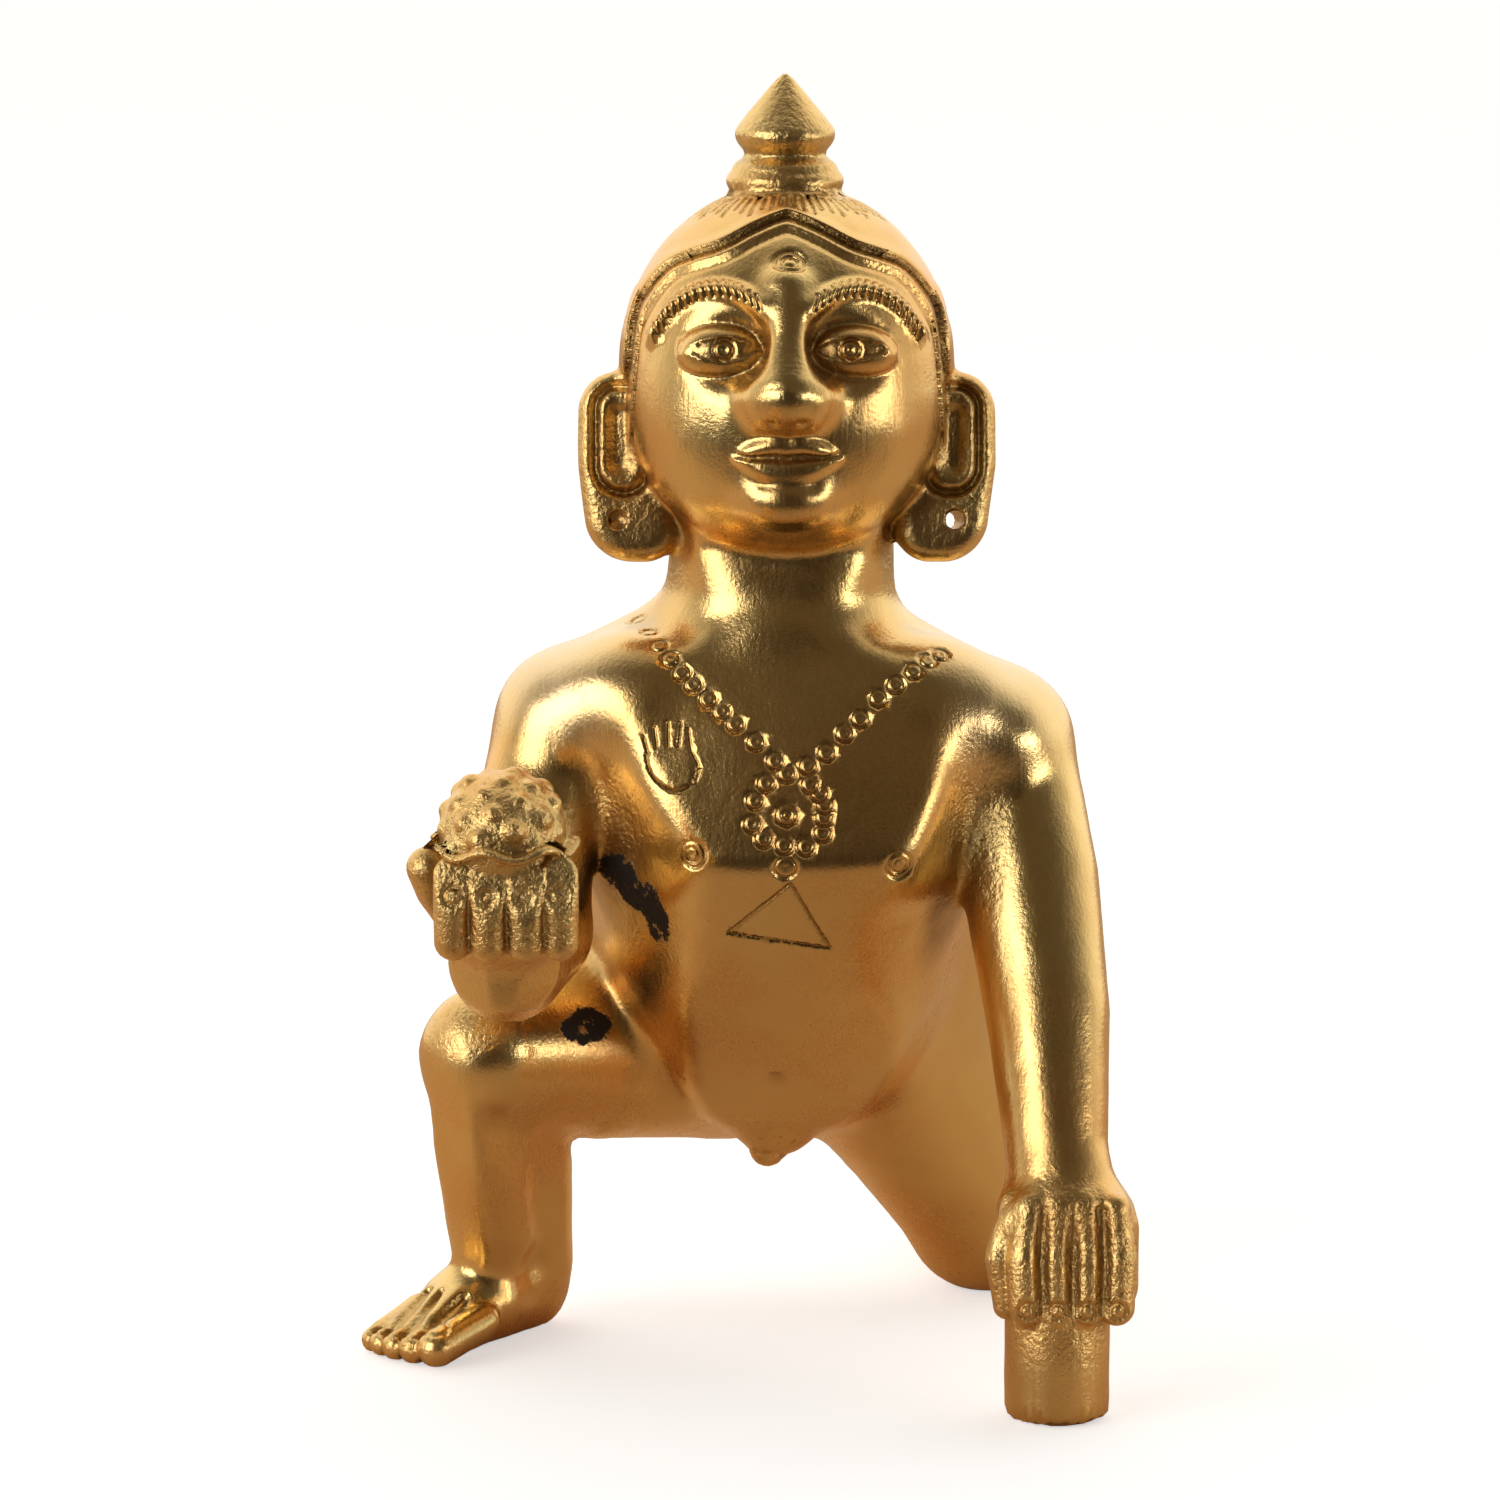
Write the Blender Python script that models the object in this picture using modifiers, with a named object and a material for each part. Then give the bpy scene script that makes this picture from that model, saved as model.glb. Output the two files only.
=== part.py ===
"""A crawling child figure with a round sweet on its raised right palm, cast in one piece of solid brass.

The figure looks along -Y, +X is its left side and +Z is up. It rests on its right sole, its left knee and shin,
and the peg under its left hand. The sculpted places and radii are shares of its height, and the surface is the
soft union of rounded forms, trimmed by broad domes where the caster filed the chest and the belly flat.
"""

import math

import bmesh
import bpy
import numpy as np
from mathutils import Matrix, Vector

# Driving sizes, in metres
HEIGHT = 0.116  # sole to the tip of the topknot
PEG_RADIUS = 0.0046  # peg under the left hand
PEG_HEIGHT = 0.0095  # ground to the finger tips above the peg
PEG_ROUNDING = 0.0012
SWEET_RADIUS = 0.0054  # round sweet on the right palm
EAR_HOLE_RADIUS = 0.00085  # drilled through each ear lobe
DRILL_LENGTH = 0.012

SHARES = 116.0  # the places below are given in this many parts of the height
PART = HEIGHT / SHARES

# Mesh fineness
VOXEL_SIZE = 0.0006
TRIANGLES = 9300

# The base centre of the figure's box, in parts, which becomes the origin
BASE_CENTRE = (-0.78, 2.19)

# Each station of a limb is x, y, z and radius, in parts
NECK = [(3.0, -2.5, 80, 9.6), (2.7, -1.5, 69, 10.3)]
SHOULDERS = [
    (-15.0, -1.5, 58.4, 6.6), (-6, 1, 61.4, 7.6), (2.8, 1.5, 61.5, 9.0), (12, 1, 59.7, 7.6), (21.6, -1.5, 56.3, 6.6),
]
LEFT_ARM = [
    (22.2, -3, 56.2, 6.7), (24.9, -9, 45, 6.1), (26.3, -15, 34, 5.5), (26.9, -20.8, 23, 4.5), (27.4, -22.8, 18, 5.0),
]
RIGHT_ARM = [(-16.1, -3, 57.7, 6.7), (-19.4, -9, 48, 5.6), (-19.4, -12, 41, 5.2)]
RIGHT_FOREARM = [(-19.4, -12, 40.8, 5.3), (-20.9, -28, 40.9, 5.0), (-20.9, -35, 42.6, 4.8)]
PECTORALS = [(-12.5, -6, 59.0, 6.2), (3.2, -8, 58, 9.0), (18.5, -6, 58.0, 6.2)]
BREAST = [(-5.5, -13.5, 50.5, 6.0), (12.0, -13.5, 50.5, 6.0)]
FLANKS = [[(-12.5, 5, 54, 7), (-7.5, 15, 35, 9.5)], [(18.5, 5, 54, 7), (14.0, 16, 35, 10)]]
RIGHT_THIGH = [(-5, 15, 27, 10.5), (-14, 6.5, 27, 8.8), (-23.6, -3, 28, 6.0)]
RIGHT_SHIN = [(-23.8, -3, 27.6, 5.8), (-24.0, -1, 20, 4.9), (-22.9, 3, 10.5, 4.7)]
RIGHT_CALF = [(-22.5, 0.5, 24, 4.6), (-21.0, 5.5, 16, 4.0), (-20.0, 8.2, 7, 3.7)]
LEFT_THIGH = [(10.5, 15, 28, 11), (16, 20, 19, 9.4), (22.4, 24.5, 7.4, 7.5)]
LEFT_SHIN = [(22.4, 24.5, 7.1, 7.3), (23.2, 33, 5.9, 5.8), (22.4, 40.5, 4.7, 4.2)]
LEFT_FOOT = [(22.4, 40.5, 4.5, 4.2), (20.8, 45.5, 3.1, 3.3)]
GROIN = [(2.3, 5.0, 21.0, 3.4), (1.6, 5.0, 17.4, 1.9)]

# Each mass is its centre, its radii along x, y and z, and its tilt about x in degrees
CHEST = ((3.2, -2, 52.5), (19.5, 20, 17), 0)
BELLY = ((2.6, 4, 38.0), (16.0, 19, 18.5), 0)
PELVIS = ((2.4, 16, 30), (16.5, 15, 13), -20)
BUTTOCKS = [((-6.8, 25, 26.5), (9.8, 10.5, 11), 0), ((11.2, 25, 25.5), (9.8, 10.5, 11), 0)]
HEAD = ((3.25, -3.5, 90.6), (14.3, 14.6, 15.4), -8)
JAW = ((0, -3.0, -7.1), (11.9, 10.0, 9.2))  # in the head's own frame


# Rounded forms as signed distances. Every function takes an array of points in parts.
FAR = 60.0


def near(points, form, centre, reach):
    """A form's distances within reach of a centre, and a far distance elsewhere."""
    result = np.full(len(points), FAR)
    close = np.linalg.norm(points - np.array(centre), axis=1) < reach
    result[close] = form(points[close])
    return result


def mix(first, second, soft):
    """The union of two distances, with a fillet about as wide as soft."""
    reach = np.maximum(soft - np.abs(first - second), 0) / soft
    return np.minimum(first, second) - reach * reach * soft / 4


def trim(first, second, soft):
    """What is inside both distances, with an edge rounded by about soft."""
    return -mix(-first, -second, soft)


def limb(points, stations):
    """A tapering round limb through its stations."""
    nearest = None
    for start, end in zip(stations, stations[1:]):
        a, b = np.array(start[:3]), np.array(end[:3])
        along = np.clip((points - a) @ (b - a) / ((b - a) @ (b - a)), 0, 1)
        radius = start[3] + along * (end[3] - start[3])
        gap = np.linalg.norm(points - a - along[:, None] * (b - a), axis=1) - radius
        nearest = gap if nearest is None else np.minimum(nearest, gap)
    return nearest


def tilted(points, centre, degrees):
    """The points seen from a centre whose front leans back by -degrees about x."""
    turn = math.radians(degrees)
    d = points - np.array(centre)
    y = d[:, 1] * math.cos(turn) + d[:, 2] * math.sin(turn)
    z = -d[:, 1] * math.sin(turn) + d[:, 2] * math.cos(turn)
    return np.stack([d[:, 0], y, z], axis=1)


def mass(points, centre, radii, degrees=0):
    """An ellipsoid."""
    q = tilted(points, centre, degrees)
    near = np.linalg.norm(q / radii, axis=1)
    slope = np.linalg.norm(q / np.square(radii), axis=1)
    return near * (near - 1) / np.maximum(slope, 1e-9)


def dome(points, place, normal, radius):
    """A very large ball that passes through a place, square to a normal."""
    normal = np.array(normal) / np.linalg.norm(normal)
    return np.linalg.norm(points - (np.array(place) - normal * radius), axis=1) - radius


def slab(points, centre, half, corner, rounding):
    """An upright slab facing forward, with wide corners and rounded edges."""
    x, y, z = (np.abs(points - np.array(centre)) - np.array(half)).T
    outline = np.hypot(np.maximum(x + corner, 0), np.maximum(z + corner, 0)) + np.minimum(np.maximum(x, z) + corner, 0)
    outline += rounding - corner
    depth = y + rounding
    return np.hypot(np.maximum(outline, 0), np.maximum(depth, 0)) + np.minimum(np.maximum(outline, depth), 0) - rounding


def post(points, centre, radius, low, high, rounding):
    """An upright round post."""
    across = np.linalg.norm(points[:, :2] - np.array(centre), axis=1) - radius + rounding
    up = np.abs(points[:, 2] - (low + high) / 2) - (high - low) / 2 + rounding
    outside = np.hypot(np.maximum(across, 0), np.maximum(up, 0))
    return outside + np.minimum(np.maximum(across, up), 0) - rounding


# The parts of the figure
def skull(points):
    """The bare head and jaw in the head's own frame."""
    return mix(mass(points, (0, 0, 0), HEAD[1]), mass(points, *JAW), 5)


def face_front(u, w):
    """Where the skull's surface lies in front, at u across and w up from the head's middle."""
    inside, outside = -5.0, -25.0
    while inside - outside > 0.01:
        middle = (inside + outside) / 2
        if skull(np.array([[u, middle, w]]))[0] < 0:
            inside = middle
        else:
            outside = middle
    return inside


def face_line(pairs, radius, sink=0.0, side=1):
    """Stations of a raised line on the face, from places across and up the face."""
    return [(side * u, face_front(u, w) + sink, w, radius) for u, w in pairs]


EYE_PLACE = (5.5, 0.4)
EYE_RADII = (3.7, 2.0, 1.9)
EYE_OPENING = (1.1, 0.9, 0.1)
LID_THICKNESS = 0.45
BROW = [(2.0, 4.6), (4.4, 5.7), (7.2, 5.7), (9.8, 4.2), (11.4, 2.2)]
NOSE = [(0, -14.0, 4.8, 1.2), (0, -15.6, 0.5, 1.35), (0, -17.5, -3.7, 1.8)]
NOSTRIL = [(1.9, -15.6, -4.4, 1.3), (2.0, -14.6, -4.5, 1.3)]
UPPER_LIP = [(0, -7.9), (1.6, -7.6), (3.0, -8.0), (4.3, -8.5)]
LOWER_LIP = [(0, -10.0), (1.8, -9.9), (3.2, -9.3)]
CHIN = ((0, -11.2, -12.6), (3.6, 3.0, 2.4))
HAIR_EDGE = [(0, 13.6), (3.0, 11.6), (7.0, 9.6), (10.5, 6.4), (12.6, 2.6), (13.6, -1.5)]
HAIR_THICKNESS = 0.5

EAR_CENTRE = (14.4, 0.0, -9.3)
EAR_HALF = (4.1, 1.9, 8.4)
EAR_HOLLOW = ((15.0, -2.4, -7.0), (2.7, 1.7, 5.1))
EAR_ISLAND = [(14.7, -1.0, -4.6, 1.15), (14.7, -1.1, -9.4, 1.15)]
EAR_HOLE_PLACE = (14.5, -14.0)

TOPKNOT_AXIS = (3.1, -2.0)
TOPKNOT = [
    ((0, 0, 106.9), (5.6, 5.6, 1.5)),
    ((0, 0, 111.2), (4.6, 4.6, 2.0)),
]
TOPKNOT_STEM = (3.6, 100, 110)
TOPKNOT_CONE = [(0, 0, 111.4, 4.0), (0, 0, 113.5, 2.6), (0, 0, 115.3, 0.5)]


def face(points):
    """The added and the cut forms of the face, in the head's own frame."""
    across = np.abs(points[:, 0])
    half = np.stack([across, points[:, 1], points[:, 2]], axis=1)
    front = face_front(*EYE_PLACE)
    socket = mass(half, (EYE_PLACE[0], front - 1.2, EYE_PLACE[1] + 0.4), (4.7, 2.7, 3.3))
    eye = mass(half, (EYE_PLACE[0], front + 1.9, EYE_PLACE[1]), EYE_RADII)
    above, below, curve = EYE_OPENING
    bend = curve * (across - EYE_PLACE[0]) ** 2
    height = points[:, 2] - EYE_PLACE[1]
    opening = np.maximum(height - above + bend, -height - below + bend)
    lid_radii = np.array(EYE_RADII) + LID_THICKNESS * np.array([1.1, 1.0, 1.3])
    lids = trim(mass(half, (EYE_PLACE[0], front + 1.9, EYE_PLACE[1]), lid_radii), -opening, 0.2)
    brow = limb(half, face_line(BROW, 0.65, 0.0))
    nose = mix(limb(points, NOSE), limb(half, NOSTRIL), 1.2)
    lips = np.minimum(limb(half, face_line(UPPER_LIP, 0.9, 0.0)), limb(half, face_line(LOWER_LIP, 1.0, 0.1)))
    chin = mass(half, *CHIN)
    return socket, eye, lids, brow, nose, lips, chin


def hair(points):
    """The hair, a thin cap over the skull behind the hairline."""
    across = np.abs(points[:, 0])
    edge = np.interp(across, [u for u, _ in HAIR_EDGE], [w for _, w in HAIR_EDGE])
    behind = np.clip((points[:, 1] + 2.0) / 6.0, 0, 1)
    edge = edge * (1 - behind) - 11.0 * behind
    return trim(skull(points) - HAIR_THICKNESS, (edge - points[:, 2]) * 0.8, 0.3)


def ear(points):
    """A flat standing ear with a long hollow, a raised island in it and a drilled lobe."""
    taper = 0.13 * np.maximum(EAR_CENTRE[2] - points[:, 2], 0)
    half = np.stack([np.abs(points[:, 0]) + taper, points[:, 1], points[:, 2]], axis=1)
    plate = slab(half, EAR_CENTRE, EAR_HALF, 3.5, 1.1)
    hollow = mass(half, *EAR_HOLLOW)
    return mix(trim(plate, -hollow, 0.5), limb(half, EAR_ISLAND), 0.4)


def topknot(points):
    """The finial of hair: a ring, a waist and a pointed bulb."""
    q = points - np.array([*TOPKNOT_AXIS, 0])
    shape = post(q, (0, 0), *TOPKNOT_STEM, 0.2)
    for centre, radii in TOPKNOT:
        shape = mix(shape, mass(q, centre, radii), 0.5)
    return mix(shape, limb(q, TOPKNOT_CONE), 0.8)


def head(points):
    """The head with its face, hair, ears and topknot."""
    q = tilted(points, HEAD[0], HEAD[2])
    socket, eye, lids, brow, nose, lips, chin = face(q)
    shape = mix(skull(q), chin, 3.0)
    shape = trim(shape, -socket, 2.0)
    shape = mix(shape, eye, 0.5)
    shape = mix(shape, nose, 1.6)
    for line in (lids, brow, lips):
        shape = mix(shape, line, 0.6)
    shape = mix(shape, hair(q), 0.3)
    shape = mix(shape, ear(q), 0.9)
    return mix(shape, topknot(points), 0.8)


CHEST_DOME = ((3.3, -16.9, 57), (0, -0.925, 0.38), 80)
BELLY_DOME = ((2.6, -9.1, 30.9), (0, -0.766, -0.643), 80)
SIDE_DOMES = [((-10.8, -12.0, 46.6), (-0.76, -0.60, -0.24), 60), ((18.1, -12.0, 46.1), (0.84, -0.49, -0.22), 60)]


def torso(points):
    """The chest, belly and hips, filed to broad faces in front."""
    shape = mix(mass(points, *CHEST), mass(points, *BELLY), 6)
    shape = mix(shape, limb(points, BREAST), 3)
    shape = mix(shape, limb(points, PECTORALS), 4)
    for place, normal, radius in (CHEST_DOME, BELLY_DOME):
        shape = trim(shape, dome(points, place, normal, radius), 0.8)
    for place, normal, radius in SIDE_DOMES:
        shape = trim(shape, dome(points, place, normal, radius), 1.2)
    shape = mix(shape, limb(points, SHOULDERS), 3)
    for flank in FLANKS:
        shape = mix(shape, limb(points, flank), 6)
    shape = mix(shape, mass(points, *PELVIS), 7)
    for cheek in BUTTOCKS:
        shape = mix(shape, mass(points, *cheek), 2.0)
    return mix(shape, limb(points, GROIN), 1.5)


LEFT_PALM = ((27.6, -23.4, 14.4), (5.6, 3.8, 5.8))
LEFT_THUMB = [(22.9, -24.9, 19.4, 0.9), (21.9, -26.1, 14.4, 1.4), (22.9, -26.0, 9.8, 1.1)]
KNUCKLES = [(2.1, -26.0, 19.6, 1.3), (2.85, -27.0, 14.6, 1.5), (2.2, -27.2, 9.9, 1.35)]
PEG_CENTRE = (26.9, -24.2)


def left_fingers():
    """Stations of the four fingers, which fan out over the fist and close at their tips."""
    middle = LEFT_PALM[0][0] + 0.3
    return [[(middle + place * gap, y, z, radius) for gap, y, z, radius in KNUCKLES] for place in (-1.5, -0.5, 0.5, 1.5)]


def left_hand(points):
    """The fist on the ground, knuckles forward, with the peg below it."""
    shape = slab(points, *LEFT_PALM, 3.6, 1.8)
    for finger in left_fingers():
        shape = mix(shape, limb(points, finger), 0.4)
    shape = mix(shape, limb(points, LEFT_THUMB), 0.5)
    peg = post(points, PEG_CENTRE, PEG_RADIUS / PART, -0.3, PEG_HEIGHT / PART + 3, PEG_ROUNDING / PART)
    return mix(shape, peg, 0.6)


SWEET_CENTRE = (-20.9, -38.3, 54.1)
SWEET_KNOBS = 40
RIGHT_PALM = ((-20.7, -38.0, 46.6), (5.6, 4.4, 3.9))
RIGHT_FINGERS = [(x, -42.0 + 0.03 * (x + 20.5) ** 2, 1.45) for x in (-25.0, -22.0, -18.9, -16.0)]
FINGER_SPAN = (45.4, 51.3)
RIGHT_THUMB = [(-24.6, -35.6, 47.4, 1.9), (-26.8, -37.6, 50.4, 1.6), (-27.5, -38.6, 53.0, 1.3)]


def right_fingers():
    """Stations of the four fingers, which stand in front of the sweet."""
    low, high = FINGER_SPAN
    return [[(x, y, low, radius), (x, y - 1.0, high, radius)] for x, y, radius in RIGHT_FINGERS]


def sweet(points):
    """The round sweet, with small knobs spiralling down from its top."""
    radius = SWEET_RADIUS / PART
    shape = np.linalg.norm(points - np.array(SWEET_CENTRE), axis=1) - radius
    for n in range(SWEET_KNOBS):
        up = 0.98 - 1.35 * n / SWEET_KNOBS
        turn = n * math.pi * (3 - math.sqrt(5))
        out = math.sqrt(1 - up * up)
        place = np.array(SWEET_CENTRE) + (radius - 0.35) * np.array([out * math.cos(turn), out * math.sin(turn), up])
        shape = mix(shape, np.linalg.norm(points - place, axis=1) - 0.85, 0.3)
    return shape


def right_hand(points):
    """The raised hand, its fingers curled up in front of the sweet."""
    shape = mass(points, *RIGHT_PALM)
    for finger in right_fingers():
        shape = mix(shape, limb(points, finger), 0.5)
    shape = mix(shape, limb(points, RIGHT_THUMB), 0.6)
    return mix(shape, sweet(points), 0.5)


HEEL = (-21.0, 9.6, 3.4)
BALLS_OF_FOOT = [(-28.2, -2.6, 1.9, 2.6), (-31.0, -0.6, 1.7, 2.2)]
TOES = [((-28.3, -6.7), 1.8), ((-30.3, -5.5), 1.5), ((-32.0, -4.1), 1.4), ((-33.3, -2.6), 1.3), ((-34.2, -1.0), 1.2)]
TOE_LENGTH = 4.6


def right_foot(points):
    """The flat foot, with five toes side by side."""
    shape = limb(points, [(*HEEL, 3.7), (-24.5, 2.4, 4.0, 4.0), BALLS_OF_FOOT[0]])
    shape = mix(shape, limb(points, [(*HEEL, 3.6), (-27.0, 2.8, 3.0, 3.4), BALLS_OF_FOOT[1]]), 1.5)
    back = np.array([HEEL[0] - TOES[2][0][0], HEEL[1] - TOES[2][0][1]])
    back *= TOE_LENGTH / np.linalg.norm(back)
    for (x, y), radius in TOES:
        shape = mix(shape, limb(points, [(x, y, radius - 0.2, radius), (x + back[0], y + back[1], 2.2, radius)]), 0.5)
    return shape


def figure(points):
    """The whole casting."""
    shape = mix(torso(points), limb(points, NECK), 4)
    shape = mix(shape, limb(points, LEFT_ARM), 2.0)
    shape = mix(shape, limb(points, RIGHT_ARM), 2.0)
    thighs = np.minimum(limb(points, RIGHT_THIGH), limb(points, LEFT_THIGH))
    shape = mix(shape, thighs, 2.5)
    right_leg = mix(limb(points, RIGHT_SHIN), limb(points, RIGHT_CALF), 1.5)
    shape = mix(shape, mix(right_leg, near(points, right_foot, HEEL, 30), 2.5), 1.5)
    left_leg = mix(limb(points, LEFT_SHIN), limb(points, LEFT_FOOT), 1.5)
    shape = mix(shape, left_leg, 1.5)
    shape = mix(shape, limb(points, RIGHT_FOREARM), 1.0)
    shape = mix(shape, near(points, right_hand, RIGHT_PALM[0], 22), 1.5)
    shape = mix(shape, near(points, left_hand, LEFT_PALM[0], 24), 1.5)
    return mix(shape, near(points, head, HEAD[0], 34), 1.5)


# Blocking out and sculpting
def balls():
    """Balls along every limb, and every mass: centre, radii and tilt."""
    chains = [NECK, SHOULDERS, LEFT_ARM, RIGHT_ARM, RIGHT_FOREARM, RIGHT_THIGH, RIGHT_SHIN, RIGHT_CALF, LEFT_THIGH]
    chains += [LEFT_SHIN, LEFT_FOOT, GROIN, LEFT_THUMB, RIGHT_THUMB]
    chains += FLANKS + left_fingers() + right_fingers()
    chains += [[(*HEEL, 3.7), (*toe, radius, radius)] for toe, radius in TOES]
    x, y = PEG_CENTRE
    peg = PEG_RADIUS / PART
    chains += [[(x, y, peg * 0.5, peg), (x, y, PEG_HEIGHT / PART, peg)]]
    x, y = TOPKNOT_AXIS
    chains += [[(x, y, TOPKNOT_STEM[1], TOPKNOT_STEM[0]), (x, y, TOPKNOT_STEM[2], TOPKNOT_STEM[0])]]
    chains += [[(x + u, y + v, w, radius) for u, v, w, radius in TOPKNOT_CONE]]
    for chain in chains:
        for start, end in zip(chain, chain[1:]):
            a, b = Vector(start[:3]), Vector(end[:3])
            steps = max(1, math.ceil((b - a).length / (0.4 * min(start[3], end[3]))))
            for n in range(steps + 1):
                radius = start[3] + (end[3] - start[3]) * n / steps
                yield a.lerp(b, n / steps), (radius, radius, radius), 0
    for centre, radii, tilt in (CHEST, BELLY, PELVIS, *BUTTOCKS, HEAD):
        yield Vector(centre), radii, tilt
    sweet_radius = SWEET_RADIUS / PART
    yield Vector(SWEET_CENTRE), (sweet_radius, sweet_radius, sweet_radius), 0
    yield Vector(RIGHT_PALM[0]), RIGHT_PALM[1], 0
    yield Vector(LEFT_PALM[0]), LEFT_PALM[1], 0
    yield in_figure(JAW[0]), JAW[1], HEAD[2]
    for (u, v, w), radii in TOPKNOT:
        yield Vector((x + u, y + v, w)), radii, 0


def in_figure(place):
    """A place in the head's own frame, seen in the figure."""
    return Vector(HEAD[0]) + Matrix.Rotation(math.radians(HEAD[2]), 3, "X") @ Vector(place)


def block_out():
    """A rough solid of balls, joined."""
    solid = bmesh.new()
    for centre, radii, tilt in balls():
        place = Matrix.Translation(centre * PART) @ Matrix.Rotation(math.radians(tilt), 4, "X")
        bmesh.ops.create_icosphere(solid, subdivisions=2, radius=PART, matrix=place @ Matrix.Diagonal((*radii, 1)))
    for side in (-1, 1):
        middle = in_figure((side * EAR_CENTRE[0], *EAR_CENTRE[1:]))
        place = Matrix.Translation(middle * PART) @ Matrix.Rotation(math.radians(HEAD[2]), 4, "X")
        bmesh.ops.create_cube(solid, size=2 * PART, matrix=place @ Matrix.Diagonal((*EAR_HALF, 1)))
    mesh = bpy.data.meshes.new("figure")
    solid.to_mesh(mesh)
    solid.free()
    return bpy.data.objects.new("figure", mesh)


def slopes(form, points, step=0.04):
    """The distance and its slope at each point, from four points around it."""
    corners = np.array([(1, 1, 1), (1, -1, -1), (-1, 1, -1), (-1, -1, 1)])
    total = np.zeros(len(points))
    slope = np.zeros_like(points)
    for corner in corners:
        value = form(points + corner * step)
        total += value / 4
        slope += value[:, None] * corner / (4 * step)
    return total, slope


def settle(mesh, form, rounds):
    """Moves every vertex on to the surface of a form."""
    places = np.empty(len(mesh.vertices) * 3)
    mesh.vertices.foreach_get("co", places)
    points = places.reshape(-1, 3) / PART
    for _ in range(rounds):
        value, slope = slopes(form, points)
        steep = np.maximum((slope * slope).sum(axis=1), 0.25)
        shift = slope * (value / steep)[:, None]
        length = np.linalg.norm(shift, axis=1)
        points -= shift * np.minimum(1, 1.2 / np.maximum(length, 1e-9))[:, None]
    mesh.vertices.foreach_set("co", (points * PART).ravel())
    mesh.update()


def apply_modifier(target, kind, **settings):
    """Adds a modifier with its settings and applies it."""
    modifier = target.modifiers.new(kind.title(), kind)
    for name, value in settings.items():
        setattr(modifier, name, value)
    with bpy.context.temp_override(object=target, active_object=target):
        bpy.ops.object.modifier_apply(modifier=modifier.name)


def stand_flat(mesh):
    """Cuts the solid level with the ground and closes the cut."""
    solid = bmesh.new()
    solid.from_mesh(mesh)
    everything = solid.verts[:] + solid.edges[:] + solid.faces[:]
    cut = bmesh.ops.bisect_plane(solid, geom=everything, plane_co=(0, 0, 0), plane_no=(0, 0, -1), clear_outer=True)
    rim = [edge for edge in cut["geom_cut"] if isinstance(edge, bmesh.types.BMEdge)]
    bmesh.ops.edgenet_fill(solid, edges=rim)
    bmesh.ops.triangulate(solid, faces=solid.faces[:])
    bmesh.ops.recalc_face_normals(solid, faces=solid.faces[:])
    solid.to_mesh(mesh)
    solid.free()


def drill_ears(target):
    """Drills the hole through each ear lobe."""
    for side in (-1, 1):
        middle = in_figure((side * EAR_HOLE_PLACE[0], 0, EAR_HOLE_PLACE[1]))
        drill = bmesh.new()
        place = Matrix.Translation(middle * PART) @ Matrix.Rotation(math.radians(HEAD[2] + 90), 4, "X")
        radius = EAR_HOLE_RADIUS
        bmesh.ops.create_cone(
            drill, cap_ends=True, segments=12, radius1=radius, radius2=radius, depth=DRILL_LENGTH, matrix=place
        )
        mesh = bpy.data.meshes.new("drill")
        drill.to_mesh(mesh)
        drill.free()
        cutter = bpy.data.objects.new("drill", mesh)
        bpy.context.scene.collection.objects.link(cutter)
        apply_modifier(target, "BOOLEAN", operation="DIFFERENCE", solver="EXACT", object=cutter)
        bpy.data.objects.remove(cutter)


def brass():
    """Polished golden brass."""
    material = bpy.data.materials.new("brass")
    material.use_nodes = True
    shader = material.node_tree.nodes["Principled BSDF"]
    shader.inputs["Base Color"].default_value = (0.62, 0.36, 0.09, 1)
    shader.inputs["Metallic"].default_value = 1.0
    shader.inputs["Roughness"].default_value = 0.24
    return material


def cast():
    """The figure as one closed solid, standing on the ground at the base centre."""
    solid = block_out()
    collection = bpy.data.collections.new("crawling_figure")
    bpy.context.scene.collection.children.link(collection)
    collection.objects.link(solid)
    for rounds in (5, 3):
        apply_modifier(solid, "REMESH", mode="VOXEL", voxel_size=VOXEL_SIZE)
        settle(solid.data, figure, rounds)
    apply_modifier(solid, "DECIMATE", ratio=TRIANGLES / (2 * len(solid.data.polygons)), use_collapse_triangulate=True)
    stand_flat(solid.data)
    drill_ears(solid)
    solid.data.transform(Matrix.Translation((-BASE_CENTRE[0] * PART, -BASE_CENTRE[1] * PART, 0)))
    solid.data.shade_flat()
    solid.data.materials.append(brass())
    return solid


for existing in list(bpy.data.objects):
    bpy.data.objects.remove(existing)
cast()
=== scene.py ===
"""The brass crawling child figure, dressed on its CAD frame.

The casting's fine surface is settled on the same rounded forms as the solid, with the face, ears, hair,
hands and feet cut finer, the punched and engraved marks worked in, and the filed faces kept. Places are
in parts: the figure is 116 of them tall, looks along -Y and has its left side at +X.
"""

import math

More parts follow.
